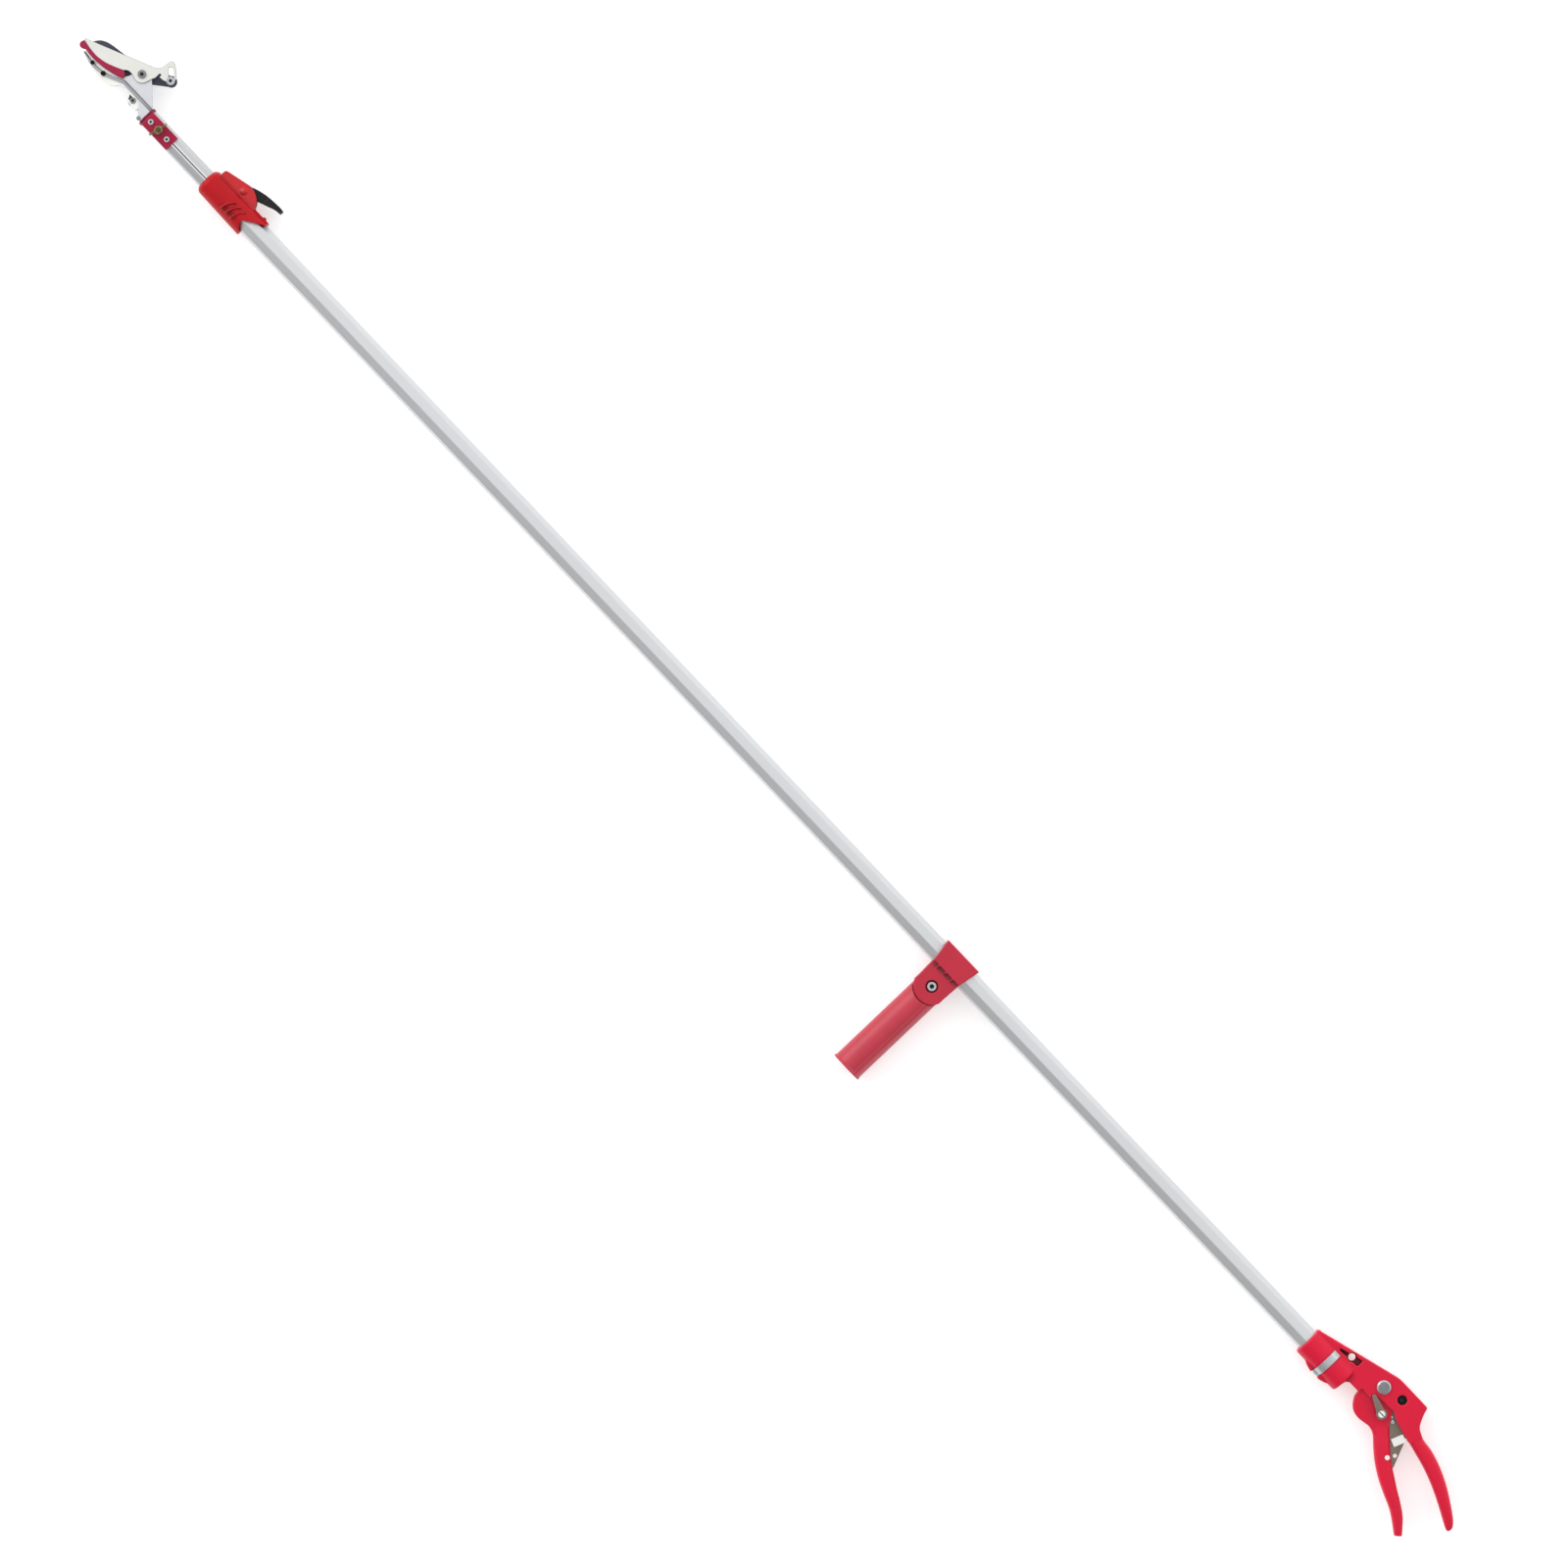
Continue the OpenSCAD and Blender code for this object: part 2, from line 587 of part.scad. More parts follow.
// Collar that carries the outer tube and clamps the inner one
module lock_collar() {
  e = tube_end;
  nose = lock_x1 - e;
  skirt = curve(moved([[-14, lock_r + 2], [-14.5, 13], [-11, 9.5], [-8.6, 6], [-9, 3], [-12.5, -0.5],
      [-18, -4.5], [-25, -8.5], [-lock_tail - 0.2, -11]], [e, 0]), 4);
  cheek = moved(concat([[-9, -10]], curve([[-9, -13.4], [-7, -17.5], [-3.4, -22.5], [2.8, -26.1],
      [10.5, -27.9]], 4),
    curve([[38, -21.5], [40.2, -19.8], [40.6, -16]], 3), [[40, -10]]), [e, 0]);
  color(red_nylon) difference() {
    union() {
      translate([e - lock_tail, 0, 0]) rotate([0, 90, 0]) rotate_extrude($fn = 72)
        polygon(concat([[0, 0], [lock_r, 0]],
          arc([lock_r - 7.4, lock_tail + nose - 6], 6, 0, 90, 6), [[0, lock_tail + nose]]));
      for (s = [-1, 1]) {
        slab(cheek, s > 0 ? lock_half + 0.4 : -lock_half - 3.6,
          s > 0 ? lock_half + 3.6 : -lock_half - 0.4);
        post(lock_pin_at, 3.5, s > 0 ? lock_half + 3 : -lock_half - 4.6,
          s > 0 ? lock_half + 4.6 : -lock_half - 3);
      }
      post([e - lock_tail + 6.5, 1.4 - lock_r], 2, -4, 4);
      // raised finger ribs
      for (i = [0:2]) {
        slab(rib_wave([e - 1.5 + 7 * i, 2.5]), lock_r - 4.5, lock_r + 0.5);
      }
    }
    along(e - lock_tail - 1, e) polygon(octagon(outer_af + 2 * seat, tube_round));
    along(e - 1, lock_x1 + 1) polygon(octagon(inner_af + 2 * tube_play, tube_round));
    slab(concat(skirt, [[e - lock_tail - 10, -11], [e - lock_tail - 10, 40], [e - 14, 40]]), -40, 40);
    // flat underside of the tail beside the nub
    block([e - lock_tail + 8.3, -40, -40], [e - 9, 1.2 - lock_r, 40]);
    block([e - lock_tail - 1, -40, -40], [e - lock_tail + 4.7, 1.2 - lock_r, 40]);
    // window for the lever cam and its pad
    block([e + 2.5, -40, -lock_half - 0.4], [e + 22, lock_pad_y + 7.1, lock_half + 0.4]);
    post(lock_pin_at, lock_pin_r + seat, -lock_half - 3.9, lock_half + 3.9);
  }
}

// Bent rib on the collar's upper face
function rib_wave(p) = moved(concat(curve([[-5, -8], [-1.2, -3], [1, 2], [2.2, 7.5]], 4),
  curve([[4.2, 7.2], [3.2, 2], [1, -3], [-2.6, -8.4]], 4)), p);

module lock_pin() {
  color(zinc) post(lock_pin_at, lock_pin_r, -lock_half - 3.8, lock_half + 3.8);
}

// Shoe that the cam presses on the inner tube
module lock_pad() {
  color(black) difference() {
    block([tube_end + 2.6, lock_pad_y, -lock_half - 0.3],
      [tube_end + 21.9, lock_pad_y + 7, lock_half + 0.3]);
    along(tube_end - 1, lock_x1 + 1) polygon(octagon(inner_af + 2 * tube_play, tube_round));
  }
}

// Lever with its eccentric cam
module lock_lever() {
  h = lock_half;
  inside = moved([[4, -18.2], [-1, -20.4], [-6, -22.5], [-15, -26], [-23, -29], [-30, -29.6]],
      [tube_end, 0]);
  outside = moved([[-30.2, -33.9], [-25, -34.6], [-10, -33.5], [0, -31.5], [9, -28.4], [15.5, -24.4]],
      [tube_end, 0]);
  color(black) difference() {
    union() {
      slab(concat([lock_pin_at + [-3, 3.6]], curve(inside, 3), curve(outside, 3),
        [lock_pin_at + [5.2, 0]]), -h, h);
      post(lock_pin_at + [0, 0.6], 5.4, -h, h);
      // wider finger pad
      slab(concat(curve(moved([[-10, -24], [-15, -26], [-23, -29], [-30, -29.6]], [tube_end, 0]), 3),
        curve(moved([[-30.2, -33.9], [-25, -34.6], [-10, -33.5]], [tube_end, 0]), 3)), -h - 2.6, h + 2.6);
    }
    post(lock_pin_at, lock_pin_r + turn, -30, 30);
  }
}

// Red saddle with an end rim, seat of a saw blade
module head_saddle() {
  x0 = head_x - saddle_len;
  color(red_coat) difference() {
    union() {
      block([x0, saddle_y - 8.5, 2], [head_x - rim_t, saddle_y + 8.5, saddle_z]);
      along(head_x - rim_t, head_x) polygon(octagon(inner_af + 1.8, 2.5));
    }
    along(x0 - 1, head_x - rim_t) polygon(octagon(inner_af + 2 * seat, tube_round));
    bar(x0 - 1, head_x + 1, cavity_af / 2 - 0.15);
    for (p = screw_at) {
      post(p, 2.1, 0, 30);
    }
    post(stud_at, stud_r + 0.1, 0, 30);
  }
}

module saddle_screws() {
  color(zinc) for (p = screw_at) {
    difference() {
      union() {
        post(p, 2, bracket_z0, saddle_z + 0.5);
        post(p, 2.9, saddle_z, saddle_z + 2.2);
      }
      socket(p, 2.5, saddle_z + 0.9, 30);
    }
  }
}

module saw_stud() {
  color(zinc) post(stud_at, stud_r, bracket_z0, saddle_z + 10.5);
}

module wing_nut() {
  z = saddle_z + 0.3;
  wing = [[3, 1.2], [6, 2.2], [9.2, 5.6], [10.6, 8.6], [10.2, 10.6], [8.4, 11], [6.2, 8.4], [3, 6.2]];
  color(brass) difference() {
    union() {
      post(stud_at, 4.5, z, z + 4.4);
      translate([stud_at[0], stud_at[1], z + 4.4]) cylinder(h = 2.6, r1 = 4.2, r2 = 3.6);
      for (a = [77.6, 257.6]) {
        translate([stud_at[0], stud_at[1], z]) rotate([90, 0, a])
          linear_extrude(2.2, center = true) polygon(wing);
      }
    }
    post(stud_at, stud_r + 0.06, 0, 60);
  }
}

// Lower and upper edge of the stem rail on the bracket
rail_low = curve([[40.5, -9.5], [45, -7.5], [52, -3.6], [60, -0.4], [69, 1.2], [79, 1.3], [89, 0],
    [91.5, 0.8]], 4);
rail_top = curve([[88, 2.6], [79, 4.5], [69, 4.6], [60, 3.1], [52, 0.1], [45, -3.4], [40, -5.4]], 4);

// Neck plate with the raised rail that backs the stem
module head_bracket() {
  o = [head_x, 0];
  z0 = bracket_z0;
  z1 = bracket_z0 + head_plate_t;
  neck = curve([[35, -5.6], [19, -4.9], [15, -3.5], [11.5, 0], [9, 3], [6, 6], [3, 8.4], [0.2, 8.6]], 3);
  web = concat(arc(hp - o, 10, 215, 410, 20), [[42, -14]]);
  plate = moved(concat([[0.2, -9.5], [1, -10]], web, rail_low, rail_top, neck), o);
  color(steel) difference() {
    union() {
      slab(plate, z0, z1);
      slab(moved(concat([[0.2, -9.5]], rail_low, rail_top, [[0.2, -5.6]]), o), z0, rail_z1);
      // tongue inside the inner tube
      block([head_x - saddle_len + 2, -3, z0], [head_x + 1, 4.5, z1]);
      post([head_x + 3.2, 7.4], 2.2, z0, z1 + 1.4);
    }
    post(hp, head_bolt_r + seat, -30, 30);
    for (p = screw_at) {
      post(p, 2 + seat, -30, 30);
    }
    post(stud_at, stud_r + seat, -30, 30);
    for (s = stud_spots) {
      post(s[0], 1.6 + seat, -30, 30);
      post(s[0], s[1] + seat, z1, 30);
    }
  }
}

// Place and head radius of the two rail studs
stud_spots = [[[head_x + 61, 2], 2.6], [[head_x + 76.5, 2.3], 2.2]];

// Fixed hook-shaped counter blade behind the bracket
module counter_blade() {
  o = [head_x, 0];
  z0 = counter_z0;
  z1 = counter_z0 + head_plate_t;
  outer = curve([[41.6, -1.4], [43, 0.8], [44.6, 3], [48, 5.5], [55, 7], [63, 7.5], [71, 6.8],
      [78, 5.5], [85, 3.2], [91, 0.3]], 4);
  inner = curve([[90, -2.6], [81, -4.4], [71, -5.2], [61, -6.4], [53, -8.6], [46.5, -10.8],
      [42, -14]], 4);
  finger = curve([[11, 4.5], [18, 4.4], [22, 4], [25, 3.2], [26.2, 2.1], [25.6, 1.2]], 3);
  plate = concat(outer, inner, arc(hp - o, 9.5, 40, -160, 20), [[19, -18], [13, -7], [11, -3]], finger,
    curve([[26.4, -2.2], [28.6, -3.9], [33, -4.4], [36.4, -3.8], [39.6, -2]], 3));
  color(pale_steel) difference() {
    slab(moved(plate, o), z0, z1);
    post(hp, head_bolt_r + seat, -30, 30);
    slot(drive_pin_at, drive_pin_at + [stroke, 0], drive_r + 0.15, -30, 30);
    for (s = stud_spots) {
      post(s[0], 1.6 + seat, -30, 30);
    }
  }
}

// Rivets that hold the counter blade to the rail
module rail_studs() {
  color(black) for (s = stud_spots) {
    post(s[0], 1.6, counter_z0, bracket_z0 + head_plate_t + 0.5);
    post(s[0], s[1], bracket_z0 + head_plate_t, rail_z1 + 0.8);
  }
}

module head_bolt() {
  z = holder_z0 + holder_t + 0.3;
  color(steel) difference() {
    union() {
      post(hp, head_bolt_r, blade_z0 - 11, z + 0.5);
      post(hp, head_bolt_r + 0.9, z, z + 2.4);
    }
    socket(hp, 3.6, z + 1, 30);
  }
}

module head_nut() {
  z = blade_z0 - 6.6;
  color(zinc) difference() {
    union() {
      translate([hp[0], hp[1], z - 4]) cylinder(h = 4, r = 6.2, $fn = 6);
      post(hp, 6.9, z - 0.6, z);
    }
    post(hp, head_bolt_r + seat, -60, 30);
  }
}

// Dark cutting blade with its drive arm and the tang of the stop screw
module cutting_blade() {
  o = [head_x, 0];
  edge = curve([[94.6, -9.6], [89, -5.6], [81, -3], [69, -1.8], [57, -3.8], [48, -7.4], [43, -11]], 4);
  back = curve([[36, -35.4], [48, -31], [59, -27.4], [73, -25.2], [81, -23.4], [87, -20.4],
      [90.6, -16.6], [94.6, -9.6]], 4);
  d = (drive_pin_at - hp) / norm(drive_pin_at - hp);
  n = [-d[1], d[0]];
  t = (stop_at - hp) / norm(stop_at - hp);
  m = [-t[1], t[0]];
  color(dark_steel) difference() {
    union() {
      slab(moved(concat(back, edge, [[36, -16.8], [30, -20], [30, -34]]), o), blade_z0, 0);
      post(hp, 9.5, blade_z0, 0);
      post(drive_pin_at, 5.6, blade_z0, 0);
      slab([hp + n * 7.5, hp - n * 7.5, drive_pin_at - n * 5.2, drive_pin_at + n * 5.2], blade_z0, 0);
      post(stop_at, 6, blade_z0, 0);
      slab([hp + m * 8.5, hp - m * 8.5, stop_at - m * 5.6, stop_at + m * 5.6], blade_z0, 0);
    }
    post(hp, head_bolt_r + turn, -30, 30);
    post(stop_at, 2.5 + seat, -30, 30);
    // short slot that follows the straight travel of the drive pin
    slot(hp + d * (drive_open_r - 0.2), hp + d * (drive_rest_r + 0.2), drive_r + 0.35, -30, 30);
  }
}

// Screw in the blade tang that runs in the holder's arc slot
module stop_screw() {
  z = holder_z0 + holder_t + 0.3;
  color(steel) difference() {
    union() {
      post(stop_at, 2.5, blade_z0 - 0.2, z + 0.5);
      post(stop_at, 4.3, z, z + 2.4);
      post(stop_at, 3.6, blade_z0 - 1.6, blade_z0);
    }
    socket(stop_at, 3.2, z + 1, 30);
  }
}

module stop_spacer() {
  color(zinc) difference() {
    post(stop_at, 4, 0, holder_z0 - plate_gap);
    post(stop_at, 2.5 + seat, -30, 30);
  }
}

// Coil behind the blade that pushes the stem holder ahead of it
holder_coil = coil([hp[0], hp[1], 0], head_bolt_r + 2.4, blade_z0 - 5.3, 2.1, 2, 9);
module holder_spring() {
  color(steel) skin(holder_coil);
}

// Arc slot round the head pivot, w is its half width
module arc_slot(w) {
  translate([hp[0], hp[1], -20]) rotate([0, 0, stop_a]) rotate_extrude(angle = holder_swing, $fn = 96)
    translate([stop_r - w, 0]) square([2 * w, 40]);
  for (a = [stop_a, stop_a + holder_swing]) {
    post(hp + stop_r * [cos(a), sin(a)], w, -20, 20);
  }
}

// Front plate that holds the stem while the blade cuts
module holder_plate() {
  o = [head_x, 0];
  top = curve([[98.4, -6.4], [89, -3.9], [79, -3.4], [69, -5], [61, -7.8], [53, -11.5], [50.4, -13],
      [48, -16.4], [44.5, -18.6], [39, -18.6]], 3);
  root = concat(arc(hp - o, 9, 80, 165, 8),
    [[22.5, -30], [21, -33.4], [21, -39.6], [19, -39.6], [19, -36.8], [14, -37.2]]);
  arm = concat(arc(stop_at - o, 4.3, 60, 225, 10), arc(hp - o, stop_r + 5.3, 219, 240, 8),
    arc(hp + [-13.6, -28.4] - o, 3.8, 245, 380, 8), [[24, -46], [26, -42.4], [30, -39.6]]);
  color(pale_steel) difference() {
    slab(moved(concat([[100, -9.4]], top, root, arm), o), holder_z0, holder_z0 + holder_t);
    post(hp, head_bolt_r + turn, -30, 30);
    arc_slot(2.8);
  }
}

// Red strip along the holder's edge, grooved for the plate
module holder_pad() {
  o = [head_x, 0];
  upper = curve([[43.5, -11], [44.6, -8.6], [51, -6], [59, -3.8], [68, -2], [78, -1.2], [86, -1.5],
      [91, -1.9], [94, -0.2], [97, 0.2], [99.4, -1.8], [99.8, -5], [98.4, -7.6]], 4);
  lower = curve([[89, -5.9], [79, -5.4], [69, -7], [61, -9.8], [53, -13.5], [49, -15.2], [45, -14]], 4);
  top = curve([[98.4, -6.4], [89, -3.9], [79, -3.4], [69, -5], [61, -7.8], [53, -11.5], [50.4, -13],
      [48, -16.4]], 3);
  color(red_coat) difference() {
    slab(moved(concat(upper, lower), o), holder_z0 - 1.8, holder_z0 + holder_t + 1.8);
    slab(moved(concat([[104, -6]], top, [[48, -30], [104, -30]]), o), holder_z0 - seat,
      holder_z0 + holder_t + seat);
  }
}

// Clamp collar of the side handle with two lugs
module side_collar() {
  c = [side_x, 0];
  low = -outer_r - 2.8;
  color(red_cast) difference() {
    union() {
      slab(moved([[-22.5, low], [22.5, low], [18.6, 9.5], [-18.6, 9.5]], c), -collar_half, collar_half);
      slab(moved([[-18.7, 8], [18.7, 8], [17.8, fold_y], [-17.8, fold_y]], c), -lug_half, lug_half);
      intersection() {
        post([side_x, fold_y], 19, -lug_half, lug_half);
        block([side_x - 17.8, fold_y - 5, -lug_half], [side_x + 17.8, fold_y + 30, lug_half]);
      }
      // three gussets between collar and lug on each face
      for (x = [-9, 0.5, 10]) {
        translate([side_x + x - 0.8, 0, 0]) rotate([90, 0, 90]) linear_extrude(1.6)
          polygon([[8, 0], [14.5, 0], [14.5, lug_half], [9.5, collar_half], [8, collar_half]]);
        translate([side_x + x - 0.8, 0, 0]) rotate([90, 0, 90]) linear_extrude(1.6)
          polygon([[8, 0], [14.5, 0], [14.5, -lug_half], [9.5, -collar_half], [8, -collar_half]]);
      }
    }
    along(side_x - 40, side_x + 40) polygon(octagon(outer_af + 0.6, tube_round));
    block([side_x - 40, 0, -tongue_half - 0.3], [side_x + 40, 80, tongue_half + 0.3]);
    post([side_x, fold_y], fold_r + seat, -30, 30);
    post([side_x, fold_y], 6.5, lug_half - 4, 30);
    post([side_x, fold_y], 6.5, -30, -lug_half + 4);
  }
}

module fold_bolt() {
  p = [side_x, fold_y];
  color(zinc) difference() {
    union() {
      post(p, fold_r, -lug_half + 0.6, lug_half - 3.8);
      post(p, fold_r + 1.6, lug_half - 4, lug_half - 0.2);
    }
    socket(p, 4.4, lug_half - 2.4, 30);
  }
}

module fold_nut() {
  p = [side_x, fold_y];
  color(zinc) difference() {
    translate([p[0], p[1], -lug_half + 0.2]) cylinder(h = 3.8, r = 5.6, $fn = 6);
    post(p, fold_r + seat, -30, 30);
  }
}

// Round folding grip with its flat tongue
module side_grip() {
  p = [side_x, fold_y];
  color(red_cast) difference() {
    union() {
      difference() {
        translate([side_x, fold_y + 8, 0]) rotate([-90, 0, 0])
          cylinder(h = side_end - fold_y - 8, r = side_r);
        for (s = [-1, 1]) {
          post(p, 19.6, s > 0 ? tongue_half : -40, s > 0 ? 40 : -tongue_half);
        }
      }
      translate([side_x, side_end - 2.6, 0]) rotate([-90, 0, 0])
        cylinder(h = 1.4, r1 = side_r, r2 = side_rim_r);
      translate([side_x, side_end - 1.2, 0]) rotate([-90, 0, 0]) cylinder(h = 1.7, r = side_rim_r);
      post(p, side_r - 0.4, -tongue_half, tongue_half);
    }
    post(p, fold_r + turn, -30, 30);
    translate([side_x, fold_y + 34, 0]) rotate([-90, 0, 0]) cylinder(h = 200, r = side_r - 3);
  }
}

// Disc that closes the end of the grip
module grip_cap() {
  color(red_cast) translate([side_x, side_end - 4, 0]) rotate([-90, 0, 0])
    cylinder(h = 3, r = side_r - 3 - seat);
}

echo(stroke = stroke, blade_swing = blade_swing, mid_x = mid_x, mid_y = mid_y, head_x = head_x,
    tube_end = tube_end);
echo(return_spring_gap = least_gap(return_coil), holder_spring_gap = least_gap(holder_coil));

lay() outer_tube();
lay() rod_guide();
lay() handle_body();
lay() socket_strap();
lay() pivot_bolt();
lay() pivot_nut();
lay() cheek_screw();
lay() return_spring();
lay() trigger_lever();
lay() trigger_plate();
lay() stop_blocks();
lay() plate_rivet();
lay() rod_pin();
lay() latch_bush();
lay() latch_screw();
lay() latch_lever();
lay() pull_tube();
lay() pull_eye();
lay() rod_clutch();
lay() pull_rod();
lay() rod_end();
lay() drive_pin();
lay() inner_tube();
lay() mast_bush();
lay() lock_collar();
lay() lock_pin();
lay() lock_pad();
lay() lock_lever();
lay() head_saddle();
lay() saddle_screws();
lay() saw_stud();
lay() wing_nut();
lay() head_bracket();
lay() counter_blade();
lay() rail_studs();
lay() head_bolt();
lay() head_nut();
lay() cutting_blade();
lay() stop_screw();
lay() stop_spacer();
lay() holder_spring();
lay() holder_plate();
lay() holder_pad();
lay() side_collar();
lay() fold_bolt();
lay() fold_nut();
lay() side_grip();
lay() grip_cap();
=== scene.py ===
"""Finishes, moulded shells and a studio for a telescopic tree pruner pole."""

import json
import math

import bmesh
import bpy
import numpy as np
from bpy.props import FloatProperty, FloatVectorProperty, IntProperty, PointerProperty
from mathutils import Matrix, Vector
from mathutils.bvhtree import BVHTree

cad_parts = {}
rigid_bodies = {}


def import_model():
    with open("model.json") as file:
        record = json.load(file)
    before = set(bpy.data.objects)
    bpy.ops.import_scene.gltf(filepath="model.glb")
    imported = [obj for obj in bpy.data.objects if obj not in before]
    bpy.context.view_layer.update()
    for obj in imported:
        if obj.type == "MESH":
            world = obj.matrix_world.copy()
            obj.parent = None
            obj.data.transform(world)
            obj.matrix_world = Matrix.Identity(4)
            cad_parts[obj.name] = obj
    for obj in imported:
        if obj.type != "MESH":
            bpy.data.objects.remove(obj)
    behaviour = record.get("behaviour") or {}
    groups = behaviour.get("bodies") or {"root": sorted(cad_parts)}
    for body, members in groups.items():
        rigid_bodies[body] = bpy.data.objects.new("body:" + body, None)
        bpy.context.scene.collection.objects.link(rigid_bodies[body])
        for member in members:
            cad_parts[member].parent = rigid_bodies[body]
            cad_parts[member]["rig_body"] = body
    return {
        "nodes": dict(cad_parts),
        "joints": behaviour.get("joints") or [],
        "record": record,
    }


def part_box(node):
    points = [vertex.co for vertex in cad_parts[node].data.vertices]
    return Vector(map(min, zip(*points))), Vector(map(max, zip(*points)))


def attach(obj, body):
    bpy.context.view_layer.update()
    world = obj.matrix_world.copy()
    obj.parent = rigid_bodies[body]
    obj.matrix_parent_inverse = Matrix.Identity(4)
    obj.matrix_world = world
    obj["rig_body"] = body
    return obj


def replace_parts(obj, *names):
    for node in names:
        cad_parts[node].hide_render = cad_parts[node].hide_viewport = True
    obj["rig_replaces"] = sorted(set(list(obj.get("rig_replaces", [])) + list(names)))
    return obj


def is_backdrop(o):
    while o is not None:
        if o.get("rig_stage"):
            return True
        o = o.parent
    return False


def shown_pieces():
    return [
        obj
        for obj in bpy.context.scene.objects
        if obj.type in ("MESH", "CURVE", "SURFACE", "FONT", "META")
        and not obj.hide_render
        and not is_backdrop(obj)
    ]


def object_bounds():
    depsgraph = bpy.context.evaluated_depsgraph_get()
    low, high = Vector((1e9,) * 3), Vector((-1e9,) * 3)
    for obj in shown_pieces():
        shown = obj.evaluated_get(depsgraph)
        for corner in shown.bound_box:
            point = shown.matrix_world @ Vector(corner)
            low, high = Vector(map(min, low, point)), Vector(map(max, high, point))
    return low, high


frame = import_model()
CAD_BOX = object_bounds()
NODES = frame["nodes"]
JOINTS = {joint["name"]: joint for joint in frame["joints"]}

bl_info = {
    "name": "Telescopic Tree Pruner",
    "version": (1, 0, 0),
    "blender": (4, 5, 0),
    "location": "3D View > Sidebar > Pruner",
    "description": "Finishes, moulded shells and a studio for a telescopic tree pruner pole",
    "category": "Object",
}

# Points closer than this are one point of a solid, and heights closer than this are one level
WELD = 2e-6
LEVEL = 2e-5
# Turns at which faces are still one flat face, edges get a bevel and shading is split
FLAT, SHARP, CREASE = (math.radians(angle) for angle in (0.6, 28, 48))
# Upright part of a face's normal: the least on level faces, ears, socket floors and chamfers, and the most
# on walls and the pad's flank
LEVEL_FACE, EAR_FACE, FLOOR_FACE, CHAMFER_FACE = 0.97, 0.6, 0.5, 0.2
WALL_FACE, FLANK_FACE = 0.3, 0.88
# A screw's socket, painted near-black as shade: depth below the screw's end, and share of the screw's reach
SOCKET_DEPTH = 0.0006
SOCKET_SHARE = 0.55
# How far the edges of the small softened pieces are rounded
SMALL_PASSES = {"head_saddle": 4, "holder_pad": 6, "wing_nut": 5}
# Screws and studs given darker zinc or brass as painted shade, or brighter jaw steel as painted light
SCREW_FINISH = {
    "saw_stud": "stud_painted_shade", "head_bolt": "bolt_painted_shade", "drive_pin": "bolt_painted_shade",
    "latch_screw": "jaw_painted_light",
}
# Place of the pole's axis; the castings' two halves meet at its height
AXIS_Z = sum(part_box("outer_tube")[end].z for end in (0, 1)) / 2
AXIS_Y = sum(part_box("outer_tube")[end].y for end in (0, 1)) / 2
# End of the outer tube inside the lock collar, and the reach of the collar's bore
TUBE_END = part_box("outer_tube")[1].x - 0.001
BORE_REACH = 0.0112
# Note on a mesh of how closed in each point is, which the finishes darken as painted shade: its name, how far
# and how many ways it looks, how far off the surface and how steeply it starts, and how often neighbours are
# evened out
SHADE_ATTRIBUTE = "hollow"
HOLLOW_REACH, HOLLOW_WAYS = 0.007, 40
HOLLOW_START, HOLLOW_SLOPE, HOLLOW_ROUNDS = 0.0003, 0.15, 3
# Distance from the pole's axis to the flat ears of the lock
EAR_START = 0.0134
# Radius of the dome over the lock lever's pin
DOME_REACH = 0.0027
# Place of the small stud on the trigger plate, and its outline as radius and height over the plate
PLATE_STUD = (-0.9105, -0.0512)
STUD_OUTLINE = (
    (0.0009, 0.00055), (0.0012, 0.0009), (0.0021, 0.0009), (0.0026, 0.0006), (0.0027, 0.0002),
    (0.0027, -0.0003),
)
# Corners of the pocket round the hanging hole, how far its rim reaches and half its height
HANG_POCKET = ((-0.8438, -0.0641), (-0.8118, -0.0621), (-0.8438, -0.0719))
POCKET_RIM = 0.0004
POCKET_WALL = 0.0075
# Near edge of the bracket's rail as x and y, and the rail's width
RAIL_EDGE = (
    (0.9314, -0.0556), (0.9718, -0.0555), (0.9778, -0.0527), (0.9852, -0.0488), (0.9914, -0.0464),
    (0.9956, -0.0455), (1.0027, -0.0447), (1.0103, -0.0448), (1.0157, -0.0454), (1.0228, -0.0460),
)
RAIL_WIDTH = 0.0037
# How far the rail's top stands above the bracket's sheet, and the width of the painted shadow along its near
# edge
RAIL_RISE = 0.003
RAIL_FOLD = 0.0006
# Start of the blade's grind beyond the pivot, and how steeply the grind runs out at the tip and the root
GRIND_START, GRIND_TIP, GRIND_ROOT = 0.012, 0.5, 0.8
# Where the mould's parts met along the upper side of the side grip, lightened as painted highlight
GRIP_X = sum(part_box("side_grip")[end].x for end in (0, 1)) / 2
GRIP_SEAMS = (((1, 0, 0), GRIP_X - 0.0085), ((1, 0, 0), GRIP_X - 0.0125))
# Soft boxes: name, place, direction of the long side, size, and the stage's value for the power
LAMPS = (
    ("key_light", (-2.6, -2.7, 2.2), (2.7, -2.6, 0), (5, 0.9), "key_power"),
    ("side_light", (6, 0.5, 4.2), (0, 1, 0), (6, 5), "side_power"),
    ("spark_light", (3.4, 1.3, 2.1), (0, 1, 0), (0.35, 0.35), "spark_power"),
)
# Types of a node group's sockets, by how many numbers a value has
SOCKETS = {1: "NodeSocketFloat", 3: "NodeSocketVector", 4: "NodeSocketColor"}
# Half the floor's width, and how far it lies below the pruner
FLOOR_REACH = 9
FLOOR_DROP = 0.0004


def from_screen(red, green, blue):
    """Scene-linear colour of a screen colour from 0 to 255."""
    parts = [value / 255 for value in (red, green, blue)]
    return tuple(v / 12.92 if v <= 0.04045 else ((v + 0.055) / 1.055) ** 2.4 for v in parts)


def paint(label, about, *screen):
    """Colour property."""
    return FloatVectorProperty(
        name=label, description=about, subtype="COLOR", size=3, min=0, max=1, default=from_screen(*screen)
    )


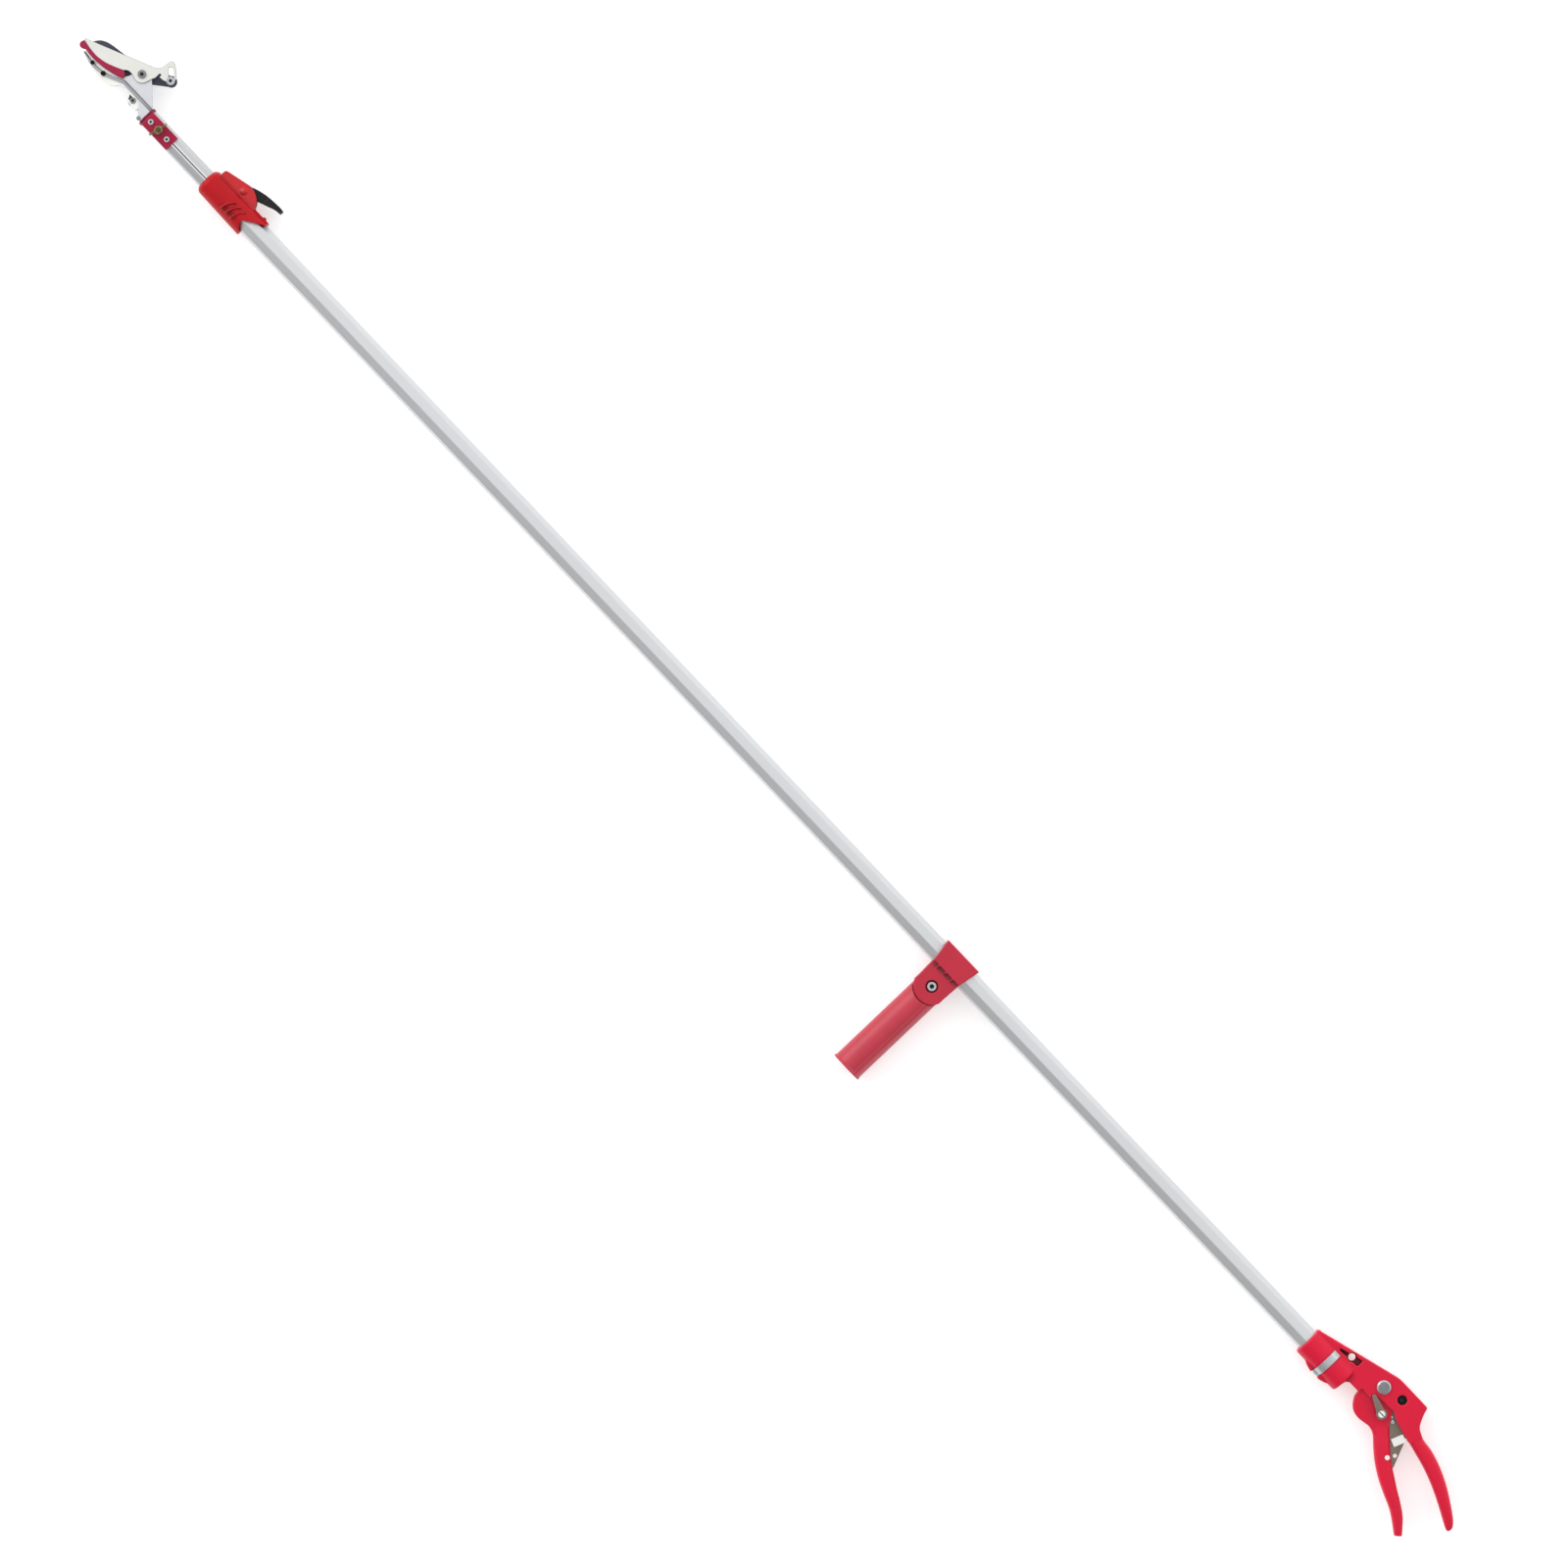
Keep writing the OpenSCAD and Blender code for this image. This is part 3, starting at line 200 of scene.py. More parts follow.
def length(label, about, metres):
    """Length property."""
    return FloatProperty(name=label, description=about, unit="LENGTH", min=0, precision=5, default=metres)


def count(label, about, number):
    """Whole-number property."""
    return IntProperty(name=label, description=about, min=0, default=number)


def light(label, about, strength, unit="NONE"):
    """Property for a lamp's power or a brightness."""
    return FloatProperty(name=label, description=about, unit=unit, min=0, default=strength)


class PrunerColours(bpy.types.PropertyGroup):
    """Colours of the pruner's finishes"""

    cast_red: paint("Handle red", "Powder coat of the handle and the trigger", 212, 8, 52)
    lock_red: paint("Lock red", "Moulded collar of the telescope lock", 178, 10, 22)
    grip_red: paint("Side handle red", "Moulded clamp and grip of the side handle", 184, 28, 54)
    saddle_red: paint("Saddle red", "Coat of the saddle below the head", 160, 8, 56)
    pad_red: paint("Pad red", "Soft pad of the stem holder", 160, 28, 68)
    tube_grey: paint("Tube grey", "Anodised aluminium of both tubes", 208, 210, 212)
    bracket_grey: paint("Bracket grey", "Plated sheet steel of the bracket", 213, 214, 219)
    jaw_grey: paint("Jaw grey", "Ground steel of the holder and the counter blade", 227, 227, 222)
    link_grey: paint("Link grey", "Bare sheet steel of the trigger plate", 132, 122, 112)
    zinc_grey: paint("Zinc grey", "Plating of the screws and pins", 188, 190, 194)
    blade_dark: paint("Blade coat", "Dark coat of the cutting blade", 62, 64, 78)
    black: paint("Black", "Black mouldings and blackened steel", 28, 29, 31)
    brass: paint("Brass", "Wing nut and collet", 152, 140, 104)
    wire_grey: paint("Spring grey", "Drawn spring wire", 150, 152, 156)


class PrunerSizes(bpy.types.PropertyGroup):
    """Sizes of what is rounded, ground and wound"""

    cast_step: length("Casting step", "Spacing of the skin on the handle castings", 0.0007)
    mould_step: length("Moulding step", "Spacing of the skin on the plastic mouldings", 0.00045)
    grip_step: length("Grip step", "Spacing of the skin on the side grip", 0.0006)
    small_step: length("Small step", "Spacing of the skin on the pad and the wing nut", 0.0003)
    cast_passes: count("Casting passes", "How far the castings' edges are rounded", 7)
    mould_passes: count("Moulding passes", "How far the mouldings' edges are rounded", 7)
    plate_edge: length("Plate edge", "Broken edge of the sheet-steel pieces", 0.00022)
    screw_edge: length("Screw edge", "Broken edge of the screws and pins", 0.00018)
    bore_room: length("Bore room", "Extra room in the lock collar's bore", 0.0005)
    blade_grind: length("Blade grind", "Width of the ground bevel on the cutting blade", 0.0065)
    rail_fall: length("Rail fall", "How far the far edge of the bracket's rail lies lower", 0.0026)
    # The leaned wall shows from above as a line of painted shadow
    rail_lean: length("Rail lean", "How far the near wall of the bracket's rail leans", 0.0010)
    # Over this width the saddle's front is given a darker red as painted shade
    saddle_lip: length("Saddle lip", "Width of the folded lip on the saddle's front", 0.0028)
    pin_dome: length("Pin dome", "Height of the dome over the lock lever's pin", 0.0011)
    jaw_edge: length("Jaw edge", "Broken edge of the holder and the counter blade", 0.0004)
    wire: length("Spring wire", "Radius of the spring wire", 0.0007)
    return_coil: length("Return coil", "Mean radius of the trigger's return spring", 0.0076)
    holder_coil: length("Holder coil", "Mean radius of the stem holder's spring", 0.0059)


class PrunerStage(bpy.types.PropertyGroup):
    """Camera, floor and lights"""

    lens: FloatProperty(name="Lens", description="Focal length of the camera", unit="CAMERA", default=180)
    across: length("Picture width", "Width of the view at the pole", 1.6)
    aim: FloatVectorProperty(
        name="Aim", description="Point on the pole's plane at the picture's middle", subtype="TRANSLATION",
        size=2, default=(-0.0109, -0.0488)
    )
    pole_angle: FloatProperty(
        name="Pole angle", description="Slope of the pole in the picture", subtype="ANGLE",
        default=math.radians(46.5)
    )
    key_power: light("Key", "Power of the long key light", 11, "POWER")
    side_power: light("Side light", "Power of the box on the head's side", 132, "POWER")
    spark_power: light("Small light", "Power of the small bright light", 9, "POWER")
    sky_top: light("Sky overhead", "Light from straight above", 1.02)
    sky_bright: light("Sky near the key", "Light from the key's side", 1.25)
    sky_dark: light("Sky far side", "Light from the other side", 0.35)
    backdrop: light("Backdrop", "Brightness of the backdrop", 0.95)
    floor: paint("Floor", "Colour of the pale floor", 221, 221, 221)


def along_line(points, x):
    """Height of a line of points at a place along it."""
    for (x0, y0), (x1, y1) in zip(points, points[1:]):
        if x <= x1:
            break
    return y0 + (y1 - y0) * (x - x0) / (x1 - x0)


def inside(corners, point, margin):
    """Whether a point lies inside a clockwise outline, grown by a margin."""
    for (x0, y0), (x1, y1) in zip(corners, (*corners[1:], corners[0])):
        side = Vector((x1 - x0, y1 - y0)).normalized()
        if side.x * (point.y - y0) - side.y * (point.x - x0) > margin:
            return False
    return True


def put(tree, kind, links=None, **settings):
    """Adds a shader node, sets it up and links or fills its inputs."""
    made = tree.nodes.new("ShaderNode" + kind)
    for key, value in settings.items():
        setattr(made, key, value)
    for key, value in (links or {}).items():
        if isinstance(value, bpy.types.NodeSocket):
            tree.links.new(value, made.inputs[key])
        else:
            made.inputs[key].default_value = value
    return made


def new_group(name, inputs, outputs):
    """Empty node group with named sockets: its tree, what comes in and what goes out."""
    tree = bpy.data.node_groups.new(name, "ShaderNodeTree")
    for label, value in inputs.items():
        kind = SOCKETS[np.size(value)]
        tree.interface.new_socket(name=label, in_out="INPUT", socket_type=kind).default_value = value
    for label in outputs:
        kind = SOCKETS[4 if label == "Colour" else 1]
        tree.interface.new_socket(name=label, in_out="OUTPUT", socket_type=kind)
    source = tree.nodes.new("NodeGroupInput")
    sink = tree.nodes.new("NodeGroupOutput")
    return tree, source.outputs, sink.inputs


def spread(tree, value, low, high, to_low=0.0, to_high=1.0):
    """Maps a range of a value to another range, with both ends held."""
    made = put(tree, "MapRange", {
        "Value": value, "From Min": low, "From Max": high, "To Min": to_low, "To Max": to_high
    })
    return made.outputs["Result"]


def calc(tree, operation, *values):
    """Result of a sum on values or sockets."""
    return put(tree, "Math", dict(enumerate(values)), operation=operation).outputs[0]


def times(tree, first, second):
    """Product of two values."""
    return calc(tree, "MULTIPLY", first, second)


def widths_off(tree, value, middle, half_width):
    """How many half widths a value lies away from the middle of a line."""
    return calc(tree, "DIVIDE", calc(tree, "ABSOLUTE", calc(tree, "SUBTRACT", value, middle)), half_width)


def noise(tree, place, per_metre, detail):
    """Soft noise, with its patches per metre."""
    made = put(tree, "TexNoise", {"Vector": place, "Scale": per_metre, "Detail": detail})
    return made.outputs["Fac"]


def drawn_lines():
    """Group: fine parallel lines of drawn, rolled or ground metal."""
    tree, source, sink = new_group("Drawn Lines", {"Place": (0, 0, 0), "Stretch": (1, 1, 1)}, ["Lines"])
    scaled = put(tree, "VectorMath", {0: source["Place"], 1: source["Stretch"]}, operation="MULTIPLY")
    streaks = put(tree, "TexNoise", {"Vector": scaled.outputs[0], "Scale": 1, "Detail": 4, "Roughness": 0.62})
    tree.links.new(spread(tree, streaks.outputs["Fac"], 0.3, 0.7), sink["Lines"])
    return tree


def surface_grain():
    """Group: orange peel of a coat or the spark texture of a mould."""
    tree, source, sink = new_group("Surface Grain", {"Place": (0, 0, 0), "Per Metre": 900}, ["Height"])
    coarse = noise(tree, source["Place"], source["Per Metre"], 2)
    finer = times(tree, source["Per Metre"], 2.3)
    cells = put(tree, "TexVoronoi", {"Vector": source["Place"], "Scale": finer}, feature="SMOOTH_F1")
    dips = times(tree, cells.outputs["Distance"], 0.6)
    tree.links.new(calc(tree, "ADD", coarse, dips), sink["Height"])
    return tree


def uneven_tone():
    """Group: a colour that drifts a little in brightness from place to place."""
    tree, source, sink = new_group(
        "Uneven Tone", {"Colour": (1, 1, 1, 1), "Place": (0, 0, 0), "Per Metre": 20, "Depth": 0.06},
        ["Colour"]
    )
    drift = spread(tree, noise(tree, source["Place"], source["Per Metre"], 5), 0.3, 0.7, -1, 1)
    swing = calc(tree, "MULTIPLY_ADD", drift, source["Depth"], 1)
    made = put(tree, "HueSaturation", {"Color": source["Colour"], "Value": swing})
    tree.links.new(made.outputs[0], sink["Colour"])
    return tree


def wear_and_painted_light():
    """Group: masks of raised edges, lit as wear and painted highlight, and of hollows, darkened as painted
    shade.
    """
    tree, source, sink = new_group(
        "Rubbed Edges", {"Place": (0, 0, 0), "Amount": 0.5, "Dirt": 0.8}, ["Raised", "Hollow"]
    )
    bend = put(tree, "NewGeometry").outputs["Pointiness"]
    broken = spread(tree, noise(tree, source["Place"], 160, 4), 0.35, 0.65, 0.2, 1)
    # Raised edges, lightened partly as wear and partly as painted highlight
    raised = times(tree, times(tree, spread(tree, bend, 0.515, 0.57), broken), source["Amount"])
    # Creases and closed-in points, darkened as painted shade
    closed = put(tree, "Attribute", attribute_name=SHADE_ATTRIBUTE).outputs["Fac"]
    deep = calc(tree, "MAXIMUM", spread(tree, bend, 0.49, 0.44), spread(tree, closed, 0.06, 0.34))
    tree.links.new(raised, sink["Raised"])
    tree.links.new(times(tree, deep, source["Dirt"]), sink["Hollow"])
    return tree


def handling_marks():
    """Group: sparse fine straight scratches from use, in two directions."""
    tree, source, sink = new_group("Handling Marks", {"Place": (0, 0, 0), "Per Metre": 1500}, ["Marks"])
    layers = []
    for angle in (0.6, -0.9):
        askew = put(tree, "VectorRotate", {"Vector": source["Place"], "Angle": angle}, rotation_type="Z_AXIS")
        long = put(tree, "VectorMath", {0: askew.outputs[0], 1: (0.02, 1, 1)}, operation="MULTIPLY")
        layers.append(spread(tree, noise(tree, long.outputs[0], source["Per Metre"], 2), 0.69, 0.76))
    both = calc(tree, "MAXIMUM", *layers)
    patches = spread(tree, noise(tree, source["Place"], 45, 2), 0.42, 0.6)
    tree.links.new(times(tree, both, patches), sink["Marks"])
    return tree


def mould_seam():
    """Group: the fine raised line where the two halves of a mould met."""
    tree, source, sink = new_group(
        "Mould Seam", {"Place": (0, 0, 0), "Across": (0, 0, 1), "Level": 0.0, "Half Width": 0.0003}, ["Seam"]
    )
    height = put(tree, "VectorMath", {0: source["Place"], 1: source["Across"]}, operation="DOT_PRODUCT")
    off = widths_off(tree, height.outputs["Value"], source["Level"], source["Half Width"])
    tree.links.new(spread(tree, off, 1.0, 0.2), sink["Seam"])
    return tree


def scribed_line_painted_light():
    """Group: a fine line along the upper side of a tube, its dark core painted shade and its lips painted
    highlights.
    """
    tree, source, sink = new_group(
        "Scribed Line", {"Place": (0, 0, 0), "Level": 0.0, "Across": 0.0, "Half Width": 0.0006},
        ["Line", "Lips"]
    )
    parts = put(tree, "SeparateXYZ", {0: source["Place"]}).outputs
    off = widths_off(tree, parts["Y"], source["Across"], source["Half Width"])
    above = calc(tree, "GREATER_THAN", parts["Z"], source["Level"])
    tree.links.new(times(tree, spread(tree, off, 1.0, 0.5), above), sink["Line"])
    tree.links.new(times(tree, spread(tree, off, 3.5, 2.0), above), sink["Lips"])
    return tree


# Shared node groups and finishes, once they are made
EFFECTS = {}
FINISHES = {}


def effect(make):
    """The shared node group that a function makes, built once."""
    if make.__name__ not in EFFECTS:
        EFFECTS[make.__name__] = make()
    return EFFECTS[make.__name__]


class Finish:
    """A material under way: its tree, its shader and where a point lies on the piece."""

    def __init__(self, name, **constants):
        self.material = bpy.data.materials.new(name)
        self.material.use_nodes = True
        self.tree = self.material.node_tree
        self.shader = self.tree.nodes["Principled BSDF"]
        self.place = put(self.tree, "TexCoord").outputs["Object"]
        for key, value in constants.items():
            self.shader.inputs[key.replace("_", " ")].default_value = value

    def use(self, make, **inputs):
        """Places a shared group in the material; the input names are its sockets with _ for a space."""
        named = {key.replace("_", " "): value for key, value in inputs.items()}
        return put(self.tree, "Group", {"Place": self.place, **named}, node_tree=effect(make)).outputs

    def tone(self, colour, per_metre, depth):
        """The finish's colour, a little uneven from place to place."""
        return self.use(uneven_tone, Colour=(*colour, 1), Per_Metre=per_metre, Depth=depth)["Colour"]

    def link(self, socket, name):
        """Feeds a shader input by its name."""
        self.tree.links.new(socket, self.shader.inputs[name])

    def bump(self, height, depth, strength):
        """Surface relief from a height, with its depth in metres."""
        made = put(self.tree, "Bump", {"Height": height, "Distance": depth, "Strength": strength})
        self.link(made.outputs["Normal"], "Normal")

    def blend(self, share, first, second):
        """Colour between two colours; each may be a socket or a colour."""
        ends = [end if isinstance(end, bpy.types.NodeSocket) else (*end, 1) for end in (first, second)]
        made = put(self.tree, "Mix", {0: share, 6: ends[0], 7: ends[1]}, data_type="RGBA")
        return made.outputs[2]


def shade(colour, factor):
    """A colour made lighter or darker."""
    return tuple(min(1, part * factor) for part in colour)


def powder_coat(name, colour):
    """Powder coat on a casting: semi-gloss, orange peel, wear and painted highlight on edges, painted shade
    in hollows.
    """
    f = Finish(name, Coat_Weight=0.22, Coat_Roughness=0.25, Specular_IOR_Level=0.16)
    tone = f.tone(colour, 24, 0.05)
    wear_and_light = f.use(wear_and_painted_light, Amount=0.8)
    # Edges lightened as wear and painted highlight; hollows darkened to 0.4 of the red as painted shade
    worn = f.blend(wear_and_light["Raised"], tone, tuple(0.85 * part + 0.13 for part in colour))
    f.link(f.blend(wear_and_light["Hollow"], worn, shade(colour, 0.4)), "Base Color")
    grain = f.use(surface_grain, Per_Metre=700)
    marks = f.use(handling_marks, Per_Metre=1500)
    f.link(spread(f.tree, marks["Marks"], 0, 1, 0.4, 0.55), "Roughness")
    seam = f.use(mould_seam, Level=AXIS_Z, Half_Width=0.0004)
    f.bump(calc(f.tree, "ADD", grain["Height"], seam["Seam"]), 0.00008, 0.5)
    return f.material


def moulded(name, colour, rough, per_metre=1400, gloss=0.3, seams=()):
    """Moulded plastic with a spark texture, wear and painted highlight on edges and painted shade in hollows;
    seams, lightened as painted highlight, are directions and levels.
    """
    f = Finish(name, Specular_IOR_Level=gloss)
    tone = f.tone(colour, 32, 0.07)
    wear_and_light = f.use(wear_and_painted_light, Amount=0.5, Dirt=0.9)
    # Edges lightened as wear and painted highlight; hollows darkened as painted shade
    pale = f.blend(wear_and_light["Raised"], tone, tuple(0.8 * part + 0.08 for part in colour))
    base = f.blend(wear_and_light["Hollow"], pale, shade(colour, 0.32))
    marks = f.use(handling_marks, Per_Metre=1800)
    f.link(spread(f.tree, marks["Marks"], 0, 1, rough, rough + 0.15), "Roughness")
    height = f.use(surface_grain, Per_Metre=per_metre)["Height"]
    for across, level in seams:
        seam = f.use(mould_seam, Across=across, Level=level, Half_Width=0.0005)["Seam"]
        # Seams lightened as painted highlight; the bump raises them
        base = f.blend(times(f.tree, seam, 0.35), base, tuple(0.8 * part + 0.15 for part in colour))
        height = calc(f.tree, "ADD", height, times(f.tree, seam, 4))
    f.link(base, "Base Color")
    f.bump(height, 0.00005, 0.45)
    return f.material


def soft_rubber(name, colour):
    """Matt rubber with fine ribs across the pad."""
    f = Finish(name, Specular_IOR_Level=0.3)
    tone = f.tone(colour, 90, 0.08)
    ribs = put(f.tree, "TexWave", {"Vector": f.place, "Scale": 260, "Distortion": 0.4}, bands_direction="X")
    share = spread(f.tree, ribs.outputs["Fac"], 0, 1, 0, 0.25)
    f.link(f.blend(share, tone, shade(colour, 0.6)), "Base Color")
    grain = f.use(surface_grain, Per_Metre=2600)
    f.link(spread(f.tree, grain["Height"], 0.3, 0.9, 0.58, 0.74), "Roughness")
    f.bump(ribs.outputs["Fac"], 0.0001, 0.6)
    return f.material


def metal(name, colour, stretch, rough, depth, drift):
    """Bare or plated metal with lines; stretch is lines per metre on each axis, drift the tone's patches."""
    f = Finish(name, Metallic=1.0)
    tone = f.tone(colour, drift, depth)
    lines = f.use(drawn_lines, Stretch=stretch)
    share = spread(f.tree, lines["Lines"], 0, 1, 0, 0.35)
    f.link(f.blend(share, tone, shade(colour, 0.82)), "Base Color")
    marks = f.use(handling_marks, Per_Metre=2200)
    rise = calc(f.tree, "ADD", lines["Lines"], marks["Marks"])
    f.link(spread(f.tree, rise, 0, 2, rough - 0.05, rough + 0.2), "Roughness")
    f.bump(lines["Lines"], 0.00002, 0.35)
    return f.material


def anodised(name, colour, scribed=None):
    """Satin anodised tube with fine lines; scribed is the place of a groove on top with painted shade and
    highlights.
    """
    f = Finish(name, Metallic=1.0)
    tone = f.tone(colour, 1.5, 0.03)
    lines = f.use(drawn_lines, Stretch=(3, 1400, 1400))
    base = f.blend(spread(f.tree, lines["Lines"], 0, 1, 0, 0.3), tone, shade(colour, 0.84))
    marks = f.use(handling_marks, Per_Metre=1800)
    base = f.blend(times(f.tree, marks["Marks"], 0.5), base, shade(colour, 1.2))
    height = lines["Lines"]
    if scribed is not None:
        line = f.use(scribed_line_painted_light, Level=AXIS_Z, Across=scribed, Half_Width=0.0008)
        # Sunk as a groove by the bump; its dark core is painted shade, its lips painted highlights
        base = f.blend(times(f.tree, line["Lips"], 0.85), base, shade(colour, 1.4))
        base = f.blend(line["Line"], base, shade(colour, 0.1))
        height = calc(f.tree, "SUBTRACT", height, times(f.tree, line["Line"], 6))
    f.link(base, "Base Color")
    rise = calc(f.tree, "ADD", lines["Lines"], marks["Marks"])
    f.link(spread(f.tree, rise, 0, 2, 0.32, 0.56), "Roughness")
    f.bump(height, 0.00002, 0.35)
    return f.material


def coated_blade(name, colour):
    """Dark low-friction coat with a faint rolled grain and lighter scuffs along the grain."""
    f = Finish(name, Metallic=0.35, Specular_IOR_Level=0.5)
    tone = f.tone(colour, 70, 0.16)
    lines = f.use(drawn_lines, Stretch=(60, 1800, 1800))
    scuffed = spread(f.tree, lines["Lines"], 0.6, 1, 0, 0.3)
    f.link(f.blend(scuffed, tone, shade(colour, 1.9)), "Base Color")
    f.link(spread(f.tree, lines["Lines"], 0, 1, 0.34, 0.5), "Roughness")
    f.bump(lines["Lines"], 0.00002, 0.4)
    return f.material


def pale_floor(name, colour):
    """Smooth pale studio floor, lit a little from below so that the shadows stay light."""
    f = Finish(name, Specular_IOR_Level=0.1, Emission_Color=(1, 1, 1, 1), Emission_Strength=0.45)
    tone = f.tone(colour, 0.6, 0.01)
    f.link(tone, "Base Color")
    grain = f.use(surface_grain, Per_Metre=40)
    f.link(spread(f.tree, grain["Height"], 0.2, 1, 0.8, 0.95), "Roughness")
    return f.material


def make_finishes(colours):
    """Every finish of the pruner, under its slot's name in the record."""
    red, grip, jaw, zinc = colours.lock_red, colours.grip_red, colours.jaw_grey, colours.zinc_grey
    sheet = colours.bracket_grey
    FINISHES.update({
        "anodised_silver": anodised("Anodised tube", colours.tube_grey),
        "scribed_silver": anodised("Scribed tube", shade(colours.tube_grey, 0.86), AXIS_Y),
        "red_cast": powder_coat("Red powder coat", colours.cast_red),
        # Darker red for the pocket round the hanging hole: painted shade
        "red_recess": powder_coat("Red first coat", shade(colours.cast_red, 0.4)),
        "red_coat": powder_coat("Red saddle coat", colours.saddle_red),
        # Darker red on the saddle's front lip: painted shade
        "red_lip": powder_coat("Red saddle lip", shade(colours.saddle_red, 0.6)),
        "red_nylon": moulded("Red lock moulding", red, rough=0.36, gloss=0.2),
        # Lighter red on the lock's ears: painted light, with a glossier surface
        "red_ear": moulded("Red lock ears", shade(red, 1.15), rough=0.26, gloss=0.45),
        "red_grip": moulded("Red clamp moulding", grip, rough=0.4, per_metre=1100, gloss=0.4),
        "seamed_grip": moulded(
            "Red grip moulding", grip, rough=0.38, per_metre=1100, gloss=0.65, seams=GRIP_SEAMS
        ),
        "black_plastic": moulded("Black moulding", colours.black, rough=0.46, per_metre=1800, gloss=0.2),
        "red_rubber": soft_rubber("Red rubber pad", colours.pad_red),
        # Darker red on the pad's flanks: painted shade
        "pad_flank": soft_rubber("Dark rubber flank", shade(colours.pad_red, 0.3)),
        "dark_blade": coated_blade("Dark blade coat", colours.blade_dark),
    })
    # Name, colour, lines per metre on each axis, roughness, and depth and patches per metre of the tone
    ground = (900, 90, 900)
    metals = {
        "bracket_steel": ("Plated sheet steel", sheet, ground, 0.4, 0.05, 30),
        "bright_steel": ("Ground jaw steel", jaw, ground, 0.36, 0.04, 30),
        # Brighter jaw steel on the counter blade, stop strip, rivet and latch screw: painted light
        "jaw_painted_light": ("Counter blade steel", shade(jaw, 1.2), ground, 0.36, 0.03, 30),
        "sheared_edge": ("Sheared edge", shade(sheet, 0.42), (300, 300, 2000), 0.5, 0.15, 200),
        # Near-black steel on the rail's leaned near wall: painted shadow
        "fold_painted_shadow": ("Fold line", shade(zinc, 0.07), (200, 200, 2000), 0.5, 0.2, 200),
        # Darker bracket steel on the rail's sloped top: painted shade
        "rail_painted_shade": ("Folded rail steel", shade(sheet, 0.8), (200, 900, 900), 0.42, 0.08, 40),
        "link_steel": ("Bare sheet steel", colours.link_grey, (120, 1500, 1500), 0.42, 0.12, 60),
        "zinc_steel": ("Zinc plate", zinc, (700, 700, 700), 0.28, 0.1, 120),
        # Darker zinc on bolt heads: painted shade
        "bolt_painted_shade": ("Dull bolt steel", shade(zinc, 0.48), (500, 500, 500), 0.36, 0.12, 150),
        # Near-black zinc in screw sockets and slots: painted shade
        "socket_painted_shade": ("Oiled recess", shade(zinc, 0.07), (900, 900, 900), 0.5, 0.2, 200),
        "black_steel": ("Blackened steel", shade(colours.black, 1.2), (800, 800, 800), 0.45, 0.15, 150),
        "brass": ("Dull brass", colours.brass, (600, 600, 600), 0.42, 0.18, 120),
        # Darker brass on the saw stud's end: painted shade
        "stud_painted_shade": ("Dark brass", shade(colours.brass, 0.35), (600, 600, 600), 0.42, 0.2, 200),
        "spring_steel": ("Spring wire", colours.wire_grey, (400, 400, 2500), 0.33, 0.1, 90),
    }
    FINISHES.update({slot: metal(*row) for slot, row in metals.items()})


def slot_of(node):
    """The record's material slot of a node."""
    return next(row["material_slot"] for row in frame["record"]["subparts"] if row["node"] == node)


def stand_in(piece, node, finish=None, *more):
    """A finished piece takes a node's place, body, slot and finish; more are finishes of marked faces."""
    slot = slot_of(node)
    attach(piece, NODES[node]["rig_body"])
    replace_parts(piece, node)
    while len(piece.data.materials) < 1 + len(more):
        piece.data.materials.append(None)
    for index, name in enumerate((finish or slot, *more)):
        piece.data.materials[index] = FINISHES[name]
    return piece


def dressed(node, finish=None):
    """A node that keeps its own mesh gets its finish."""
    mesh = NODES[node].data
    mesh.materials.clear()
    mesh.materials.append(FINISHES[finish or slot_of(node)])


def new_piece(name, data):
    """Links a mesh, a lamp or the camera into the scene."""
    piece = bpy.data.objects.new(name, data)
    bpy.context.scene.collection.objects.link(piece)
    return piece


def settle(piece):
    """Makes a piece's modifiers part of its mesh."""
    bpy.context.view_layer.update()
    ready = piece.evaluated_get(bpy.context.evaluated_depsgraph_get())
    rough = piece.data
    piece.data = bpy.data.meshes.new_from_object(ready)
    piece.modifiers.clear()
    bpy.data.meshes.remove(rough)


def softened(node, step, passes, suffix, finish=None, *more):
    """Stand-in for a cast or moulded node, with an even skin and rounded edges."""
    piece = new_piece(node + suffix, NODES[node].data.copy())
    skin = piece.modifiers.new("even_skin", "REMESH")
    skin.mode = "VOXEL"
    skin.voxel_size = step
    rounding = piece.modifiers.new("rounded_edges", "SMOOTH")
    rounding.factor = 0.5
    rounding.iterations = passes
    settle(piece)
    piece.data.shade_smooth()
    note_occlusion_shade(piece.data)
    return stand_in(piece, node, finish, *more)


